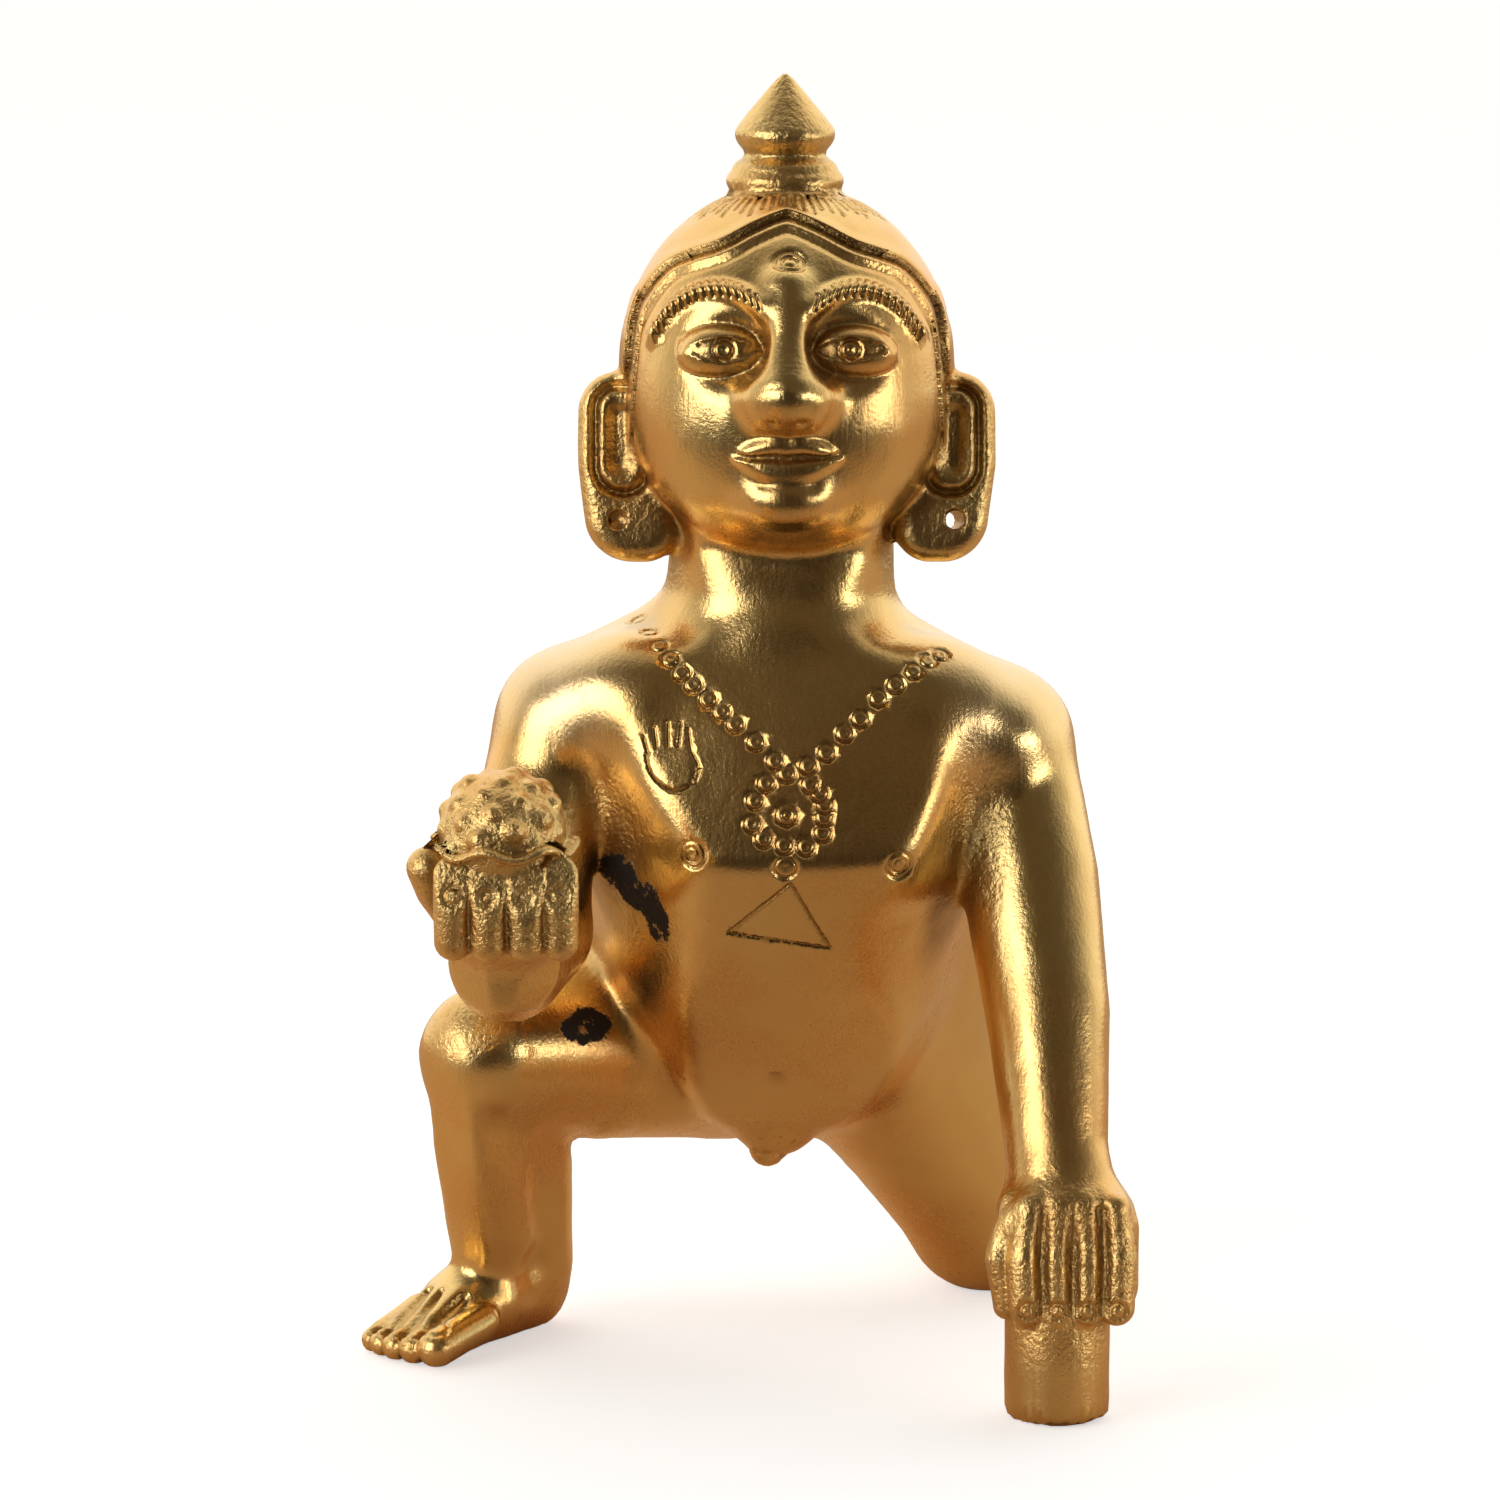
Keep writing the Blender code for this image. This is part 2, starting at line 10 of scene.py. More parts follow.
import bmesh
import bpy
import numpy as np
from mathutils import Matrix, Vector


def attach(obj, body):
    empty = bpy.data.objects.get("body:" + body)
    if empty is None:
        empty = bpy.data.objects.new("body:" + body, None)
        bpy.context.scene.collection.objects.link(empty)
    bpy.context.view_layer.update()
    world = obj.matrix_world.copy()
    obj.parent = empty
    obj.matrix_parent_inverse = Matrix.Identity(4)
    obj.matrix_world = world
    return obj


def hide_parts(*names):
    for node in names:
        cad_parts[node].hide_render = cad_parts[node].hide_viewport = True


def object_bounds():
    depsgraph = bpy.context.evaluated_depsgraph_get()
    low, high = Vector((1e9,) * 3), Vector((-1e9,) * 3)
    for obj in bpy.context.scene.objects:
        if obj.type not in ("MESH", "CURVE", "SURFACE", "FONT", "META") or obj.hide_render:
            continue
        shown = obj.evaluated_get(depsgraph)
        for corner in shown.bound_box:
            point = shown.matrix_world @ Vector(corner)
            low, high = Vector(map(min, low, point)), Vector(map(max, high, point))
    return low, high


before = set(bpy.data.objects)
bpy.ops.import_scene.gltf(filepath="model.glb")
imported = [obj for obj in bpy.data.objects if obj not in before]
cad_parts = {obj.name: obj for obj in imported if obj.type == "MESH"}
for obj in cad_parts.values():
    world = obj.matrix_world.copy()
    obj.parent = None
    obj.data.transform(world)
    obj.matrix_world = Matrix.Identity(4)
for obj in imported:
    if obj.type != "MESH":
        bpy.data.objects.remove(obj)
cad_box = [list(corner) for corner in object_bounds()]
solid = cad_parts["figure"]

# Driving sizes, which follow the frame's height
SHARES = 116.1  # the figure's height in parts
PART = (cad_box[1][2] - cad_box[0][2]) / SHARES
BASE_CENTRE = np.array([-0.78, 2.19, 0.0])  # the frame's origin, in parts

# The rounded forms of the casting: each station of a limb is x, y, z and radius
NECK = [(3.0, -2.5, 80, 9.6), (2.7, -1.5, 69, 10.3)]
SHOULDERS = [
    (-15.0, -1.5, 58.4, 6.6), (-6, 1, 61.4, 7.6), (2.8, 1.5, 61.5, 9.0), (12, 1, 59.7, 7.6),
    (21.6, -1.5, 56.3, 6.6),
]
LEFT_ARM = [
    (22.2, -3, 56.2, 6.7), (24.9, -9, 45, 6.1), (26.3, -15, 34, 5.5), (26.9, -20.8, 23, 4.5),
    (27.4, -22.8, 18, 5.0),
]
RIGHT_ARM = [(-16.1, -3, 57.7, 6.7), (-19.4, -9, 48, 5.6), (-19.4, -12, 41, 5.2)]
RIGHT_FOREARM = [(-19.4, -12, 40.8, 5.3), (-20.9, -28, 40.9, 5.0), (-20.9, -35, 42.6, 4.8)]
PECTORALS = [(-12.5, -6, 59.0, 6.2), (3.2, -8, 58, 9.0), (18.5, -6, 58.0, 6.2)]
SHOULDER_CAPS = [
    [(-10.5, -7.5, 61.0, 5.6), (-16.0, -5.6, 58.6, 5.6)],
    [(16.5, -7.5, 60.4, 5.6), (21.4, -6.6, 57.2, 5.8)],
]
BREAST = [(-5.5, -13.5, 50.5, 6.0), (12.0, -13.5, 50.5, 6.0)]
FLANKS = [[(-12.5, 5, 54, 7), (-7.5, 15, 35, 9.5)], [(18.5, 5, 54, 7), (14.0, 16, 35, 10)]]
RIGHT_THIGH = [(-5, 15, 27, 10.5), (-14, 6.5, 27, 8.8), (-23.6, -3, 28, 6.0)]
RIGHT_SHIN = [(-23.8, -3.2, 27.6, 5.6), (-24.6, -2.0, 20, 4.1), (-23.7, 2.0, 10.5, 3.9)]
RIGHT_CALF = [(-21.6, 1.0, 24, 4.6), (-20.4, 5.2, 16, 4.1), (-20.2, 8.2, 7, 3.8)]
LEFT_THIGH = [(10.5, 15, 28, 11), (16, 20, 19, 9.4), (22.4, 24.5, 7.4, 7.5)]
LEFT_SHIN = [(22.4, 24.5, 7.1, 7.3), (23.2, 33, 5.9, 5.8), (22.4, 40.5, 4.7, 4.2)]
LEFT_FOOT = [(22.4, 40.5, 4.5, 4.2), (20.8, 45.5, 3.1, 3.3)]
GROIN = [(2.6, 6.5, 24.5, 6.9), (2.3, 5.6, 21.0, 4.3), (1.6, 4.9, 17.5, 1.7)]

# Each mass is its centre, its radii along x, y and z, and its tilt about x in degrees
CHEST = ((3.2, -2, 52.5), (19.5, 20, 17), 0)
BELLY = ((2.6, 4, 38.0), (16.0, 19, 18.5), 0)
PELVIS = ((2.4, 16, 30), (16.5, 15, 13), -20)
BUTTOCKS = [((-6.8, 25, 26.5), (9.8, 10.5, 11), 0), ((11.2, 25, 25.5), (9.8, 10.5, 11), 0)]
HEAD = ((3.25, -3.5, 90.6), (14.3, 14.6, 15.4), -8)
JAW = ((0, -3.0, -7.1), (11.9, 10.0, 9.2))  # in the head's own frame

# Each filed face is a very large ball's: a place on it, the way it looks and its radius
FRONT_FACES = [
    ((3.3, -16.9, 57), (0, -0.925, 0.38), 80),
    ((2.6, -9.1, 30.9), (0, -0.766, -0.643), 80),
]
SIDE_FACES = [
    ((-10.8, -12.0, 46.6), (-0.76, -0.60, -0.24), 60),
    ((18.1, -12.0, 46.1), (0.84, -0.49, -0.22), 60),
]
NECK_FACE = [((3.0, -10.6, 72.5), (0, -0.955, 0.296), 50)]
SHIN_FACES = [
    ((-26.6, -4.6, 18.9), (-0.62, -0.75, -0.24), 60),
    ((-22.3, -4.3, 18.3), (0.60, -0.78, -0.17), 60),
]
WRIST_FACES = [
    ((-23.3, -37.7, 41.6), (-0.64, -0.72, -0.26), 60),
    ((-20.8, -38.7, 41.7), (0.02, -0.97, -0.23), 60),
    ((-18.5, -37.6, 41.6), (0.66, -0.70, -0.26), 60),
]


# Rounded forms as signed distances. Every function takes an array of points in parts, and the last number
# of a mix or a trim is how wide its fillet is.
FAR = 60.0


def near(points, form, centre, reach, fine):
    """A form's distances within reach of a centre, and a far distance elsewhere."""
    result = np.full(len(points), FAR)
    close = np.linalg.norm(points - np.array(centre), axis=1) < reach
    result[close] = form(points[close], fine)
    return result


def mix(first, second, soft):
    """The union of two distances, with a fillet about as wide as soft."""
    reach = np.maximum(soft - np.abs(first - second), 0) / soft
    return np.minimum(first, second) - reach * reach * soft / 4


def trim(first, second, soft):
    """What is inside both distances, with an edge rounded by about soft."""
    return -mix(-first, -second, soft)


def limb(points, stations):
    """A tapering round limb through its stations."""
    nearest = None
    for start, end in zip(stations, stations[1:]):
        a, b = np.array(start[:3]), np.array(end[:3])
        along = np.clip((points - a) @ (b - a) / ((b - a) @ (b - a)), 0, 1)
        radius = start[3] + along * (end[3] - start[3])
        gap = np.linalg.norm(points - a - along[:, None] * (b - a), axis=1) - radius
        nearest = gap if nearest is None else np.minimum(nearest, gap)
    return nearest


def tilted(points, centre, degrees):
    """The points seen from a centre whose front leans back by -degrees about x."""
    turn = math.radians(degrees)
    d = points - np.array(centre)
    y = d[:, 1] * math.cos(turn) + d[:, 2] * math.sin(turn)
    z = -d[:, 1] * math.sin(turn) + d[:, 2] * math.cos(turn)
    return np.stack([d[:, 0], y, z], axis=1)


def smooth_line(stations, steps=5):
    """More stations along a curve that passes smoothly through the given ones."""
    known = np.array(stations, dtype=float)
    ends = np.vstack([2 * known[0] - known[1], known, 2 * known[-1] - known[-2]])
    curve = []
    for before, start, end, after in zip(ends, ends[1:], ends[2:], ends[3:]):
        for t in np.arange(steps) / steps:
            pull = (2 * before - 5 * start + 4 * end - after) * t * t
            swing = (3 * start - before - 3 * end + after) * t ** 3
            curve.append((2 * start + (end - before) * t + pull + swing) / 2)
    return [tuple(place) for place in curve] + [tuple(known[-1])]


def mass(points, centre, radii, degrees=0):
    """An ellipsoid."""
    q = tilted(points, centre, degrees)
    close = np.linalg.norm(q / radii, axis=1)
    slope = np.linalg.norm(q / np.square(radii), axis=1)
    return close * (close - 1) / np.maximum(slope, 1e-9)


def dome(points, place, normal, radius):
    """A very large ball that passes through a place, square to a normal."""
    normal = np.array(normal) / np.linalg.norm(normal)
    return np.linalg.norm(points - (np.array(place) - normal * radius), axis=1) - radius


def filed(shape, points, faces, soft):
    """A shape after the faces were filed on it, with edges rounded by about soft."""
    for face in faces:
        shape = trim(shape, dome(points, *face), soft)
    return shape


def outline(x, z, half_x, half_z, corner):
    """The distance to an upright rectangle with round corners, from across and up."""
    a, b = np.abs(x) - half_x + corner, np.abs(z) - half_z + corner
    return np.hypot(np.maximum(a, 0), np.maximum(b, 0)) + np.minimum(np.maximum(a, b), 0) - corner


def slab(points, centre, half, corner, rounding):
    """An upright slab facing forward, with wide corners and rounded edges."""
    x, y, z = (points - np.array(centre)).T
    rim = outline(x, z, half[0], half[2], corner) + rounding
    depth = np.abs(y) - half[1] + rounding
    outside = np.hypot(np.maximum(rim, 0), np.maximum(depth, 0))
    return outside + np.minimum(np.maximum(rim, depth), 0) - rounding


def post(points, centre, radius, bottom, top, rounding):
    """An upright round post."""
    across = np.linalg.norm(points[:, :2] - np.array(centre), axis=1) - radius + rounding
    up = np.abs(points[:, 2] - (bottom + top) / 2) - (top - bottom) / 2 + rounding
    outside = np.hypot(np.maximum(across, 0), np.maximum(up, 0))
    return outside + np.minimum(np.maximum(across, up), 0) - rounding


def groove(distance, width, depth):
    """How deep a round-bottomed cut is at a distance from its middle line."""
    return depth * np.exp(-((distance / width) ** 2))


def turned(points, axis, profile):
    """A lathe-turned form: the profile gives radius and height, from the bottom up."""
    radii, heights = np.array(profile).T
    out = np.linalg.norm(points[:, :2] - np.array(axis), axis=1)
    z = points[:, 2]
    radius = sum(np.interp(z + shift, heights, radii) for shift in (-0.24, -0.08, 0.08, 0.24)) / 4
    slope = (np.interp(z + 0.2, heights, radii) - np.interp(z - 0.2, heights, radii)) / 0.4
    side = (out - radius) / np.sqrt(1 + slope * slope)
    return np.maximum(side, np.maximum(z - heights[-1], heights[0] - z))


SWELLS = [
    # the way that each swell runs, and where it starts
    (1.0, 0.3, 0.2, 0.4),
    (-0.4, 0.9, 0.5, 2.1),
    (0.2, -0.5, 1.1, 4.0),
    (0.8, 0.7, -0.6, 1.3),
    (-0.9, 0.4, -0.7, 5.2),
]


def uneven(points, wavelength):
    """Slow random swells from -1 to 1, like those that filing leaves."""
    total = np.zeros(len(points))
    for x, y, z, phase in SWELLS:
        total += np.sin((points @ np.array([x, y, z])) * 2 * math.pi / wavelength + phase)
    return total / len(SWELLS)


# The head, in its own frame: u across, v back and w up from its middle
SKULL_FILLET = 5


def skull(points):
    """The bare head and jaw."""
    return mix(mass(points, (0, 0, 0), HEAD[1]), mass(points, *JAW), SKULL_FILLET)


def face_front(u, w):
    """Where the skull's surface lies in front, at u across and w up."""
    inside, outside = -5.0, -25.0
    while inside - outside > 0.01:
        middle = (inside + outside) / 2
        if skull(np.array([[u, middle, w]]))[0] < 0:
            inside = middle
        else:
            outside = middle
    return inside


def face_line(stations, sink=0.0):
    """Stations of a raised line on the face, from places across and up and its radii."""
    return [(u, face_front(u, w) + sink, w, radius) for u, w, radius in stations]


EYE_PLACE = (5.5, 0.4)
EYE_SINK = 1.9  # how far the eyeball's middle lies behind the skull's surface
SOCKET = ((0.3, -1.2, 0.4), (4.4, 2.7, 3.3), 2.0)  # its place from the eye, its radii and its fillet
EYE_RADII = (3.7, 2.0, 1.9)
EYE_OPENING = (1.15, 0.9, 0.105)  # how far above and below the middle it opens, and its curve
LID_THICKNESS = 0.42
LID_CREASE = [(1.9, 0.2), (3.4, 2.3), (5.6, 3.1), (7.8, 2.5), (9.7, 0.3)]
EYE_FRONT = face_front(*EYE_PLACE)
EYE_MIDDLE = (EYE_PLACE[0], EYE_FRONT + EYE_SINK, EYE_PLACE[1])
BROW = smooth_line([(1.9, 4.0), (4.2, 5.5), (7.0, 5.8), (9.6, 4.6), (11.6, 2.2)])
BROW_LINE = face_line([(u, w, 0.78) for u, w in BROW])
NOSE_BASE = [(0, -11.8, 5.5, 1.8), (0, -12.9, 0.5, 2.2), (0, -14.3, -3.4, 3.1)]
NOSE = smooth_line([
    (0, -13.3, 5.6, 0.9), (0, -14.8, 1.4, 0.95), (0, -16.0, -1.8, 1.25), (0, -16.4, -3.6, 1.7),
])
NOSE_WING = [(1.9, -15.2, -4.1, 1.35), (2.3, -14.0, -4.0, 1.3)]
NOSTRIL = (1.1, -16.0, -5.4)
PHILTRUM = face_line([(0, -6.4, 0.0), (0, -7.3, 0.0)])
UPPER_LIP = face_line(smooth_line([
    (0, -8.05, 0.7), (1.1, -7.8, 0.8), (2.7, -8.15, 0.65), (4.3, -8.75, 0.25),
]))
LOWER_LIP = face_line(smooth_line([
    (0, -9.95, 0.95), (1.5, -9.85, 0.9), (3.0, -9.4, 0.6), (4.2, -8.9, 0.25),
]))
MOUTH_LINE = face_line(smooth_line([
    (0, -8.95, 0.0), (1.6, -8.8, 0.0), (3.2, -8.85, 0.0), (4.6, -8.6, 0.0),
]), -0.3)
LIP_FOOT = face_line([(0, -11.3, 0.0), (1.8, -11.1, 0.0)], -0.2)
CHIN = ((0, -11.2, -12.6), (3.6, 3.0, 2.4))
HAIR_EDGE = smooth_line([
    (0, 12.7), (1.5, 12.1), (3.2, 11.3), (5.9, 9.9), (8.6, 9.1), (10.4, 8.4), (12.2, 6.6), (13.4, 4.2),
    (14.2, -1.5),
])
HAIR_THICKNESS = 0.42
HAIR_NAPE = -11.0
BEAD = (0.85, 0.34, 0.26)  # how far below the hair's edge, half the width and the height

EAR_CENTRE = (14.4, 0.0, -9.3)
EAR_HALF = (4.1, 1.9, 8.4)
EAR_CORNER = 3.5
EAR_ROUNDING = 1.6
EAR_TAPER = 0.13  # how fast the lobe draws in towards the jaw
EAR_ISLAND_CENTRE = (14.75, -6.9)
EAR_HOLE_PLACE = (14.5, -14.0)
EAR_HOLE_RADIUS = 0.85

TOPKNOT_AXIS = (3.1, -2.0)
TOPKNOT = [
    (3.9, 100.0), (3.9, 105.0), (4.7, 105.5), (5.15, 106.1), (5.25, 106.7), (5.0, 107.3), (4.55, 107.6),
    (4.7, 107.9), (4.3, 108.3), (3.6, 108.7), (3.6, 109.2), (4.15, 109.8), (4.45, 110.5), (4.4, 111.1),
    (3.5, 112.3), (2.1, 114.0), (0.8, 115.5), (0.25, 116.0),
]


def to_half(points):
    """The points with both sides laid on the left one, because the head is even."""
    return np.stack([np.sqrt(points[:, 0] ** 2 + 0.06), points[:, 1], points[:, 2]], axis=1)


def eyelids(half):
    """The upper and the lower lid, a shell over the eyeball that is open in an almond."""
    above, below, curve = EYE_OPENING
    bend = curve * (half[:, 0] - EYE_PLACE[0]) ** 2
    height = half[:, 2] - EYE_PLACE[1]
    opening = trim(height - above + bend, -height - below + bend, 0.3)
    radii = np.array(EYE_RADII) + LID_THICKNESS * np.array([1.1, 1.0, 1.3])
    return trim(mass(half, EYE_MIDDLE, radii), -opening, 0.25)


def hairline(half):
    """How far a point lies above the hair's edge, square to the edge."""
    across, up = np.array(HAIR_EDGE).T
    edge = np.interp(half[:, 0], across, up)
    slope = np.interp(half[:, 0], across, np.gradient(up, across))
    behind = np.clip((half[:, 1] + 2.0) / 6.0, 0, 1)
    edge = edge * (1 - behind) + HAIR_NAPE * behind
    return (half[:, 2] - edge) / np.sqrt(1 + (slope * (1 - behind)) ** 2)


def ear(points, fine):
    """A flat standing ear: a sunk channel round a dished island, and a drilled lobe."""
    half = to_half(points)
    half[:, 0] += EAR_TAPER * np.maximum(EAR_CENTRE[2] - points[:, 2], 0)
    plate = slab(half, EAR_CENTRE, EAR_HALF, EAR_CORNER, EAR_ROUNDING)
    if fine:
        u, w = half[:, 0] - EAR_ISLAND_CENTRE[0], half[:, 2] - EAR_ISLAND_CENTRE[1]
        front = np.clip((0.4 - half[:, 1]) / 0.8, 0, 1)
        channel = np.abs(outline(u, w, 2.2, 4.7, 2.0))
        dish = np.maximum(outline(u, w, 0.3, 2.3, 0.3), 0)
        plate = plate + front * (groove(channel, 0.4, 0.85) + groove(dish, 0.8, 0.6))
    across = np.abs(points[:, 0]) - EAR_HOLE_PLACE[0] + 0.25 * points[:, 1]
    hole = np.hypot(across, points[:, 2] - EAR_HOLE_PLACE[1]) - EAR_HOLE_RADIUS
    return plate, hole


def eyes_and_brows(shape, half):
    """The sockets, eyeballs, lids and brows, worked into the head."""
    (across, back, up), radii, fillet = SOCKET
    middle = (EYE_PLACE[0] + across, EYE_FRONT + back, EYE_PLACE[1] + up)
    shape = trim(shape, -mass(half, middle, radii), fillet)
    shape = mix(shape, mass(half, EYE_MIDDLE, EYE_RADII), 0.5)
    shape = mix(shape, eyelids(half), 0.3)
    return mix(shape + face_crease(half), limb(half, BROW_LINE), 0.7)


def face_crease(half):
    """The fold above the upper lid, which is cut at any depth that is near the face."""
    curve, squeeze = 0.04, 0.35
    fold = []
    for u, w in smooth_line(LID_CREASE):
        fold.append((u, (EYE_FRONT + curve * (u - EYE_PLACE[0]) ** 2) * squeeze, w, 0.0))
    return groove(limb(half * np.array([1, squeeze, 1]), fold), 0.28, 0.28)


def nose_and_mouth(shape, half):
    """The nose, lips and chin, worked into the head."""
    shape = mix(shape, mass(half, *CHIN), 3.0)
    shape = mix(shape, mix(limb(half, NOSE), limb(half, NOSE_WING), 1.4), 2.4)
    shape = shape + groove(limb(half, PHILTRUM), 0.5, 0.28) + groove(limb(half, LIP_FOOT), 1.0, 0.35)
    shape = mix(shape, limb(half, UPPER_LIP), 0.6)
    shape = mix(shape, limb(half, LOWER_LIP), 0.8)
    shape = shape + groove(limb(half, MOUTH_LINE), 0.26, 0.5)
    return shape + groove(np.linalg.norm(half - np.array(NOSTRIL), axis=1), 0.6, 0.55)


def hair(shape, bare, half):
    """The hair, with a raised rim and a bead along its front edge."""
    above = hairline(half)
    front = np.clip((2.0 - half[:, 1]) / 4.0, 0, 1) * (np.abs(bare) < 2.5)
    shape = mix(shape, trim(bare - HAIR_THICKNESS, -above, 0.35), 0.2)
    rim = groove(above - 0.45, 0.4, 0.22) - groove(above + 0.15, 0.2, 0.22)
    below, width, height = BEAD
    bead = groove(above + below, width, height) - groove(above + 2 * below, 0.2, 0.12)
    return shape - front * (rim + bead)


def head(points, fine):
    """The head with its ears and topknot and, if fine, its face and hair."""
    q = tilted(points, HEAD[0], HEAD[2])
    half = to_half(q)
    bare = skull(q)
    shape = mix(bare, limb(half, NOSE_BASE), 2.2)
    if fine:
        shape = nose_and_mouth(eyes_and_brows(shape, half), half)
        shape = hair(shape, bare, half)
    plate, hole = ear(q, fine)
    shape = trim(mix(shape, plate, 0.9), -hole, 0.25)
    return mix(shape, turned(points, TOPKNOT_AXIS, TOPKNOT), 0.6)


def torso(points):
    """The chest, belly and hips, filed to broad faces in front."""
    shape = mix(mass(points, *CHEST), mass(points, *BELLY), 6)
    shape = mix(shape, limb(points, BREAST), 3)
    shape = mix(shape, limb(points, PECTORALS), 4)
    shape = filed(shape, points, FRONT_FACES, 0.8)
    shape = filed(shape, points, SIDE_FACES, 1.2)
    shape = mix(shape, limb(points, SHOULDERS), 3)
    for flank in FLANKS:
        shape = mix(shape, limb(points, flank), 6)
    shape = mix(shape, mass(points, *PELVIS), 7)
    for cheek in BUTTOCKS:
        shape = mix(shape, mass(points, *cheek), 2.0)
    for cap in SHOULDER_CAPS:
        shape = mix(shape, limb(points, cap), 3)
    return mix(shape, limb(points, GROIN), 1.0)


# The hands and feet
LEFT_PALM = ((27.7, -23.4, 14.5), (6.2, 3.9, 6.0))
LEFT_THUMB = [(22.6, -24.9, 19.2, 0.9), (21.8, -26.0, 14.4, 1.3), (22.4, -25.9, 10.2, 1.2)]
KNUCKLES = [(2.5, -26.4, 19.0, 1.35), (2.75, -27.4, 14.6, 1.55), (2.6, -27.8, 10.5, 1.6)]
PEG_CENTRE = (26.9, -24.2)
PEG = (4.6, -0.3, 10.0, 1.2)  # radius, bottom, top and rounding
NAIL_RADIUS = 0.8

SWEET_CENTRE = (-20.9, -38.3, 54.1)
SWEET_RADIUS = 5.4
SWEET_KNOBS = 40
RIGHT_PALM = ((-20.7, -38.0, 46.6), (5.6, 4.4, 3.9))
RIGHT_FINGERS = [(x, -41.8 + 0.03 * (x + 20.5) ** 2, 1.62) for x in (-25.0, -22.0, -18.9, -16.0)]
FINGER_FACE = [((-20.5, -43.6, 48.5), (0, -0.98, 0.19), 40)]
FINGER_RING = (0.85, 1.7, 0.5)  # radius, how far below the finger's top, and how far before its middle line
FINGER_SPAN = (45.4, 51.3)
RIGHT_THUMB = [(-24.8, -36.4, 46.8, 2.0), (-26.6, -38.2, 49.3, 1.7), (-27.2, -39.0, 51.3, 1.8)]
CUFF = (5.9, 53.1, 0.42, 0.4, 7)  # radius, height, thickness, wave and number of waves

HEEL = (-21.0, 9.6, 3.4)
BALLS_OF_FOOT = [(-28.2, -2.6, 1.9, 2.6), (-31.0, -0.6, 1.7, 2.2)]
TOES = [  # where each toe ends, across and back, and its radius
    ((-28.3, -6.7), 1.8), ((-30.3, -5.5), 1.5), ((-32.0, -4.1), 1.4), ((-33.3, -2.6), 1.3),
    ((-34.2, -1.0), 1.2),
]
TOE_LENGTH = 6.0
TOE_ROOT = 2.9  # how high the toes start from the foot
SEAM_REACH = 0.75  # how far dirt spreads from the lines between fingers and toes


def ring_cut(points, centre, radius, width, depth):
    """A punched ring on any surface near its centre, from the distance to the centre alone."""
    return groove(np.linalg.norm(points - np.array(centre), axis=1) - radius, width, depth)


def left_fingers():
    """Stations of the four fingers, which fan out over the fist and close at their tips."""
    middle = LEFT_PALM[0][0] + 0.3
    fingers = []
    for place in (-1.5, -0.5, 0.5, 1.5):
        fingers.append([(middle + place * gap, y, z, radius) for gap, y, z, radius in KNUCKLES])
    return fingers


def fist_lines():
    """Stations of the lines between the fist's fingers."""
    fingers = left_fingers()
    lines = []
    for first, second in zip(fingers, fingers[1:]):
        lines.append([((a[0] + b[0]) / 2, a[1] - a[3] * 0.75, a[2], 0.0) for a, b in zip(first, second)])
    return lines


def toe_back():
    """Which way the toes run back to their roots."""
    back = np.array([HEEL[0] - TOES[2][0][0], HEEL[1] - TOES[2][0][1]])
    return back / np.linalg.norm(back)


def toe_lines():
    """Stations of the lines between the toes."""
    back, lines = toe_back(), []
    for (first, _), (second, _) in zip(TOES, TOES[1:]):
        x, y = (first[0] + second[0]) / 2, (first[1] + second[1]) / 2
        lines.append([(x, y, 0.8, 0), (x, y, 3.0, 0), (x + back[0] * 5.2, y + back[1] * 5.2, 4.9, 0)])
    return lines


def seams(points):
    """How near a point lies to a line between fingers or toes, from 0 to 1."""
    nearest = np.min([limb(points, line) for line in fist_lines() + toe_lines()], axis=0)
    return np.exp(-((nearest / SEAM_REACH) ** 2))


def left_hand(points, fine):
    """The fist on the ground, knuckles forward, with the peg below it."""
    shape = slab(points, *LEFT_PALM, 3.6, 1.8)
    fingers = left_fingers()
    for finger in fingers:
        shape = mix(shape, limb(points, finger), 0.3)
    shape = mix(shape, limb(points, LEFT_THUMB), 0.4)
    if fine:
        for line in fist_lines():
            shape = shape + groove(limb(points, line), 0.5, 0.75)
        for finger in fingers:
            x, y, z, radius = finger[-1]
            shape = shape + ring_cut(points, (x, y - radius, z - 0.1), NAIL_RADIUS, 0.22, 0.38)
    return mix(shape, post(points, PEG_CENTRE, *PEG), 0.6)


def sweet(points, fine):
    """The round sweet, with small knobs spiralling down from its top."""
    shape = np.linalg.norm(points - np.array(SWEET_CENTRE), axis=1) - SWEET_RADIUS
    if not fine:
        return shape
    for n in range(SWEET_KNOBS):
        up = 0.98 - 1.35 * n / SWEET_KNOBS
        turn = n * math.pi * (3 - math.sqrt(5))
        out = math.sqrt(1 - up * up)
        direction = np.array([out * math.cos(turn), out * math.sin(turn), up])
        place = np.array(SWEET_CENTRE) + (SWEET_RADIUS - 0.6) * direction
        knob = 1.02 + 0.15 * math.sin(5.0 * n)
        shape = mix(shape, np.linalg.norm(points - place, axis=1) - knob, 0.25)
    return shape


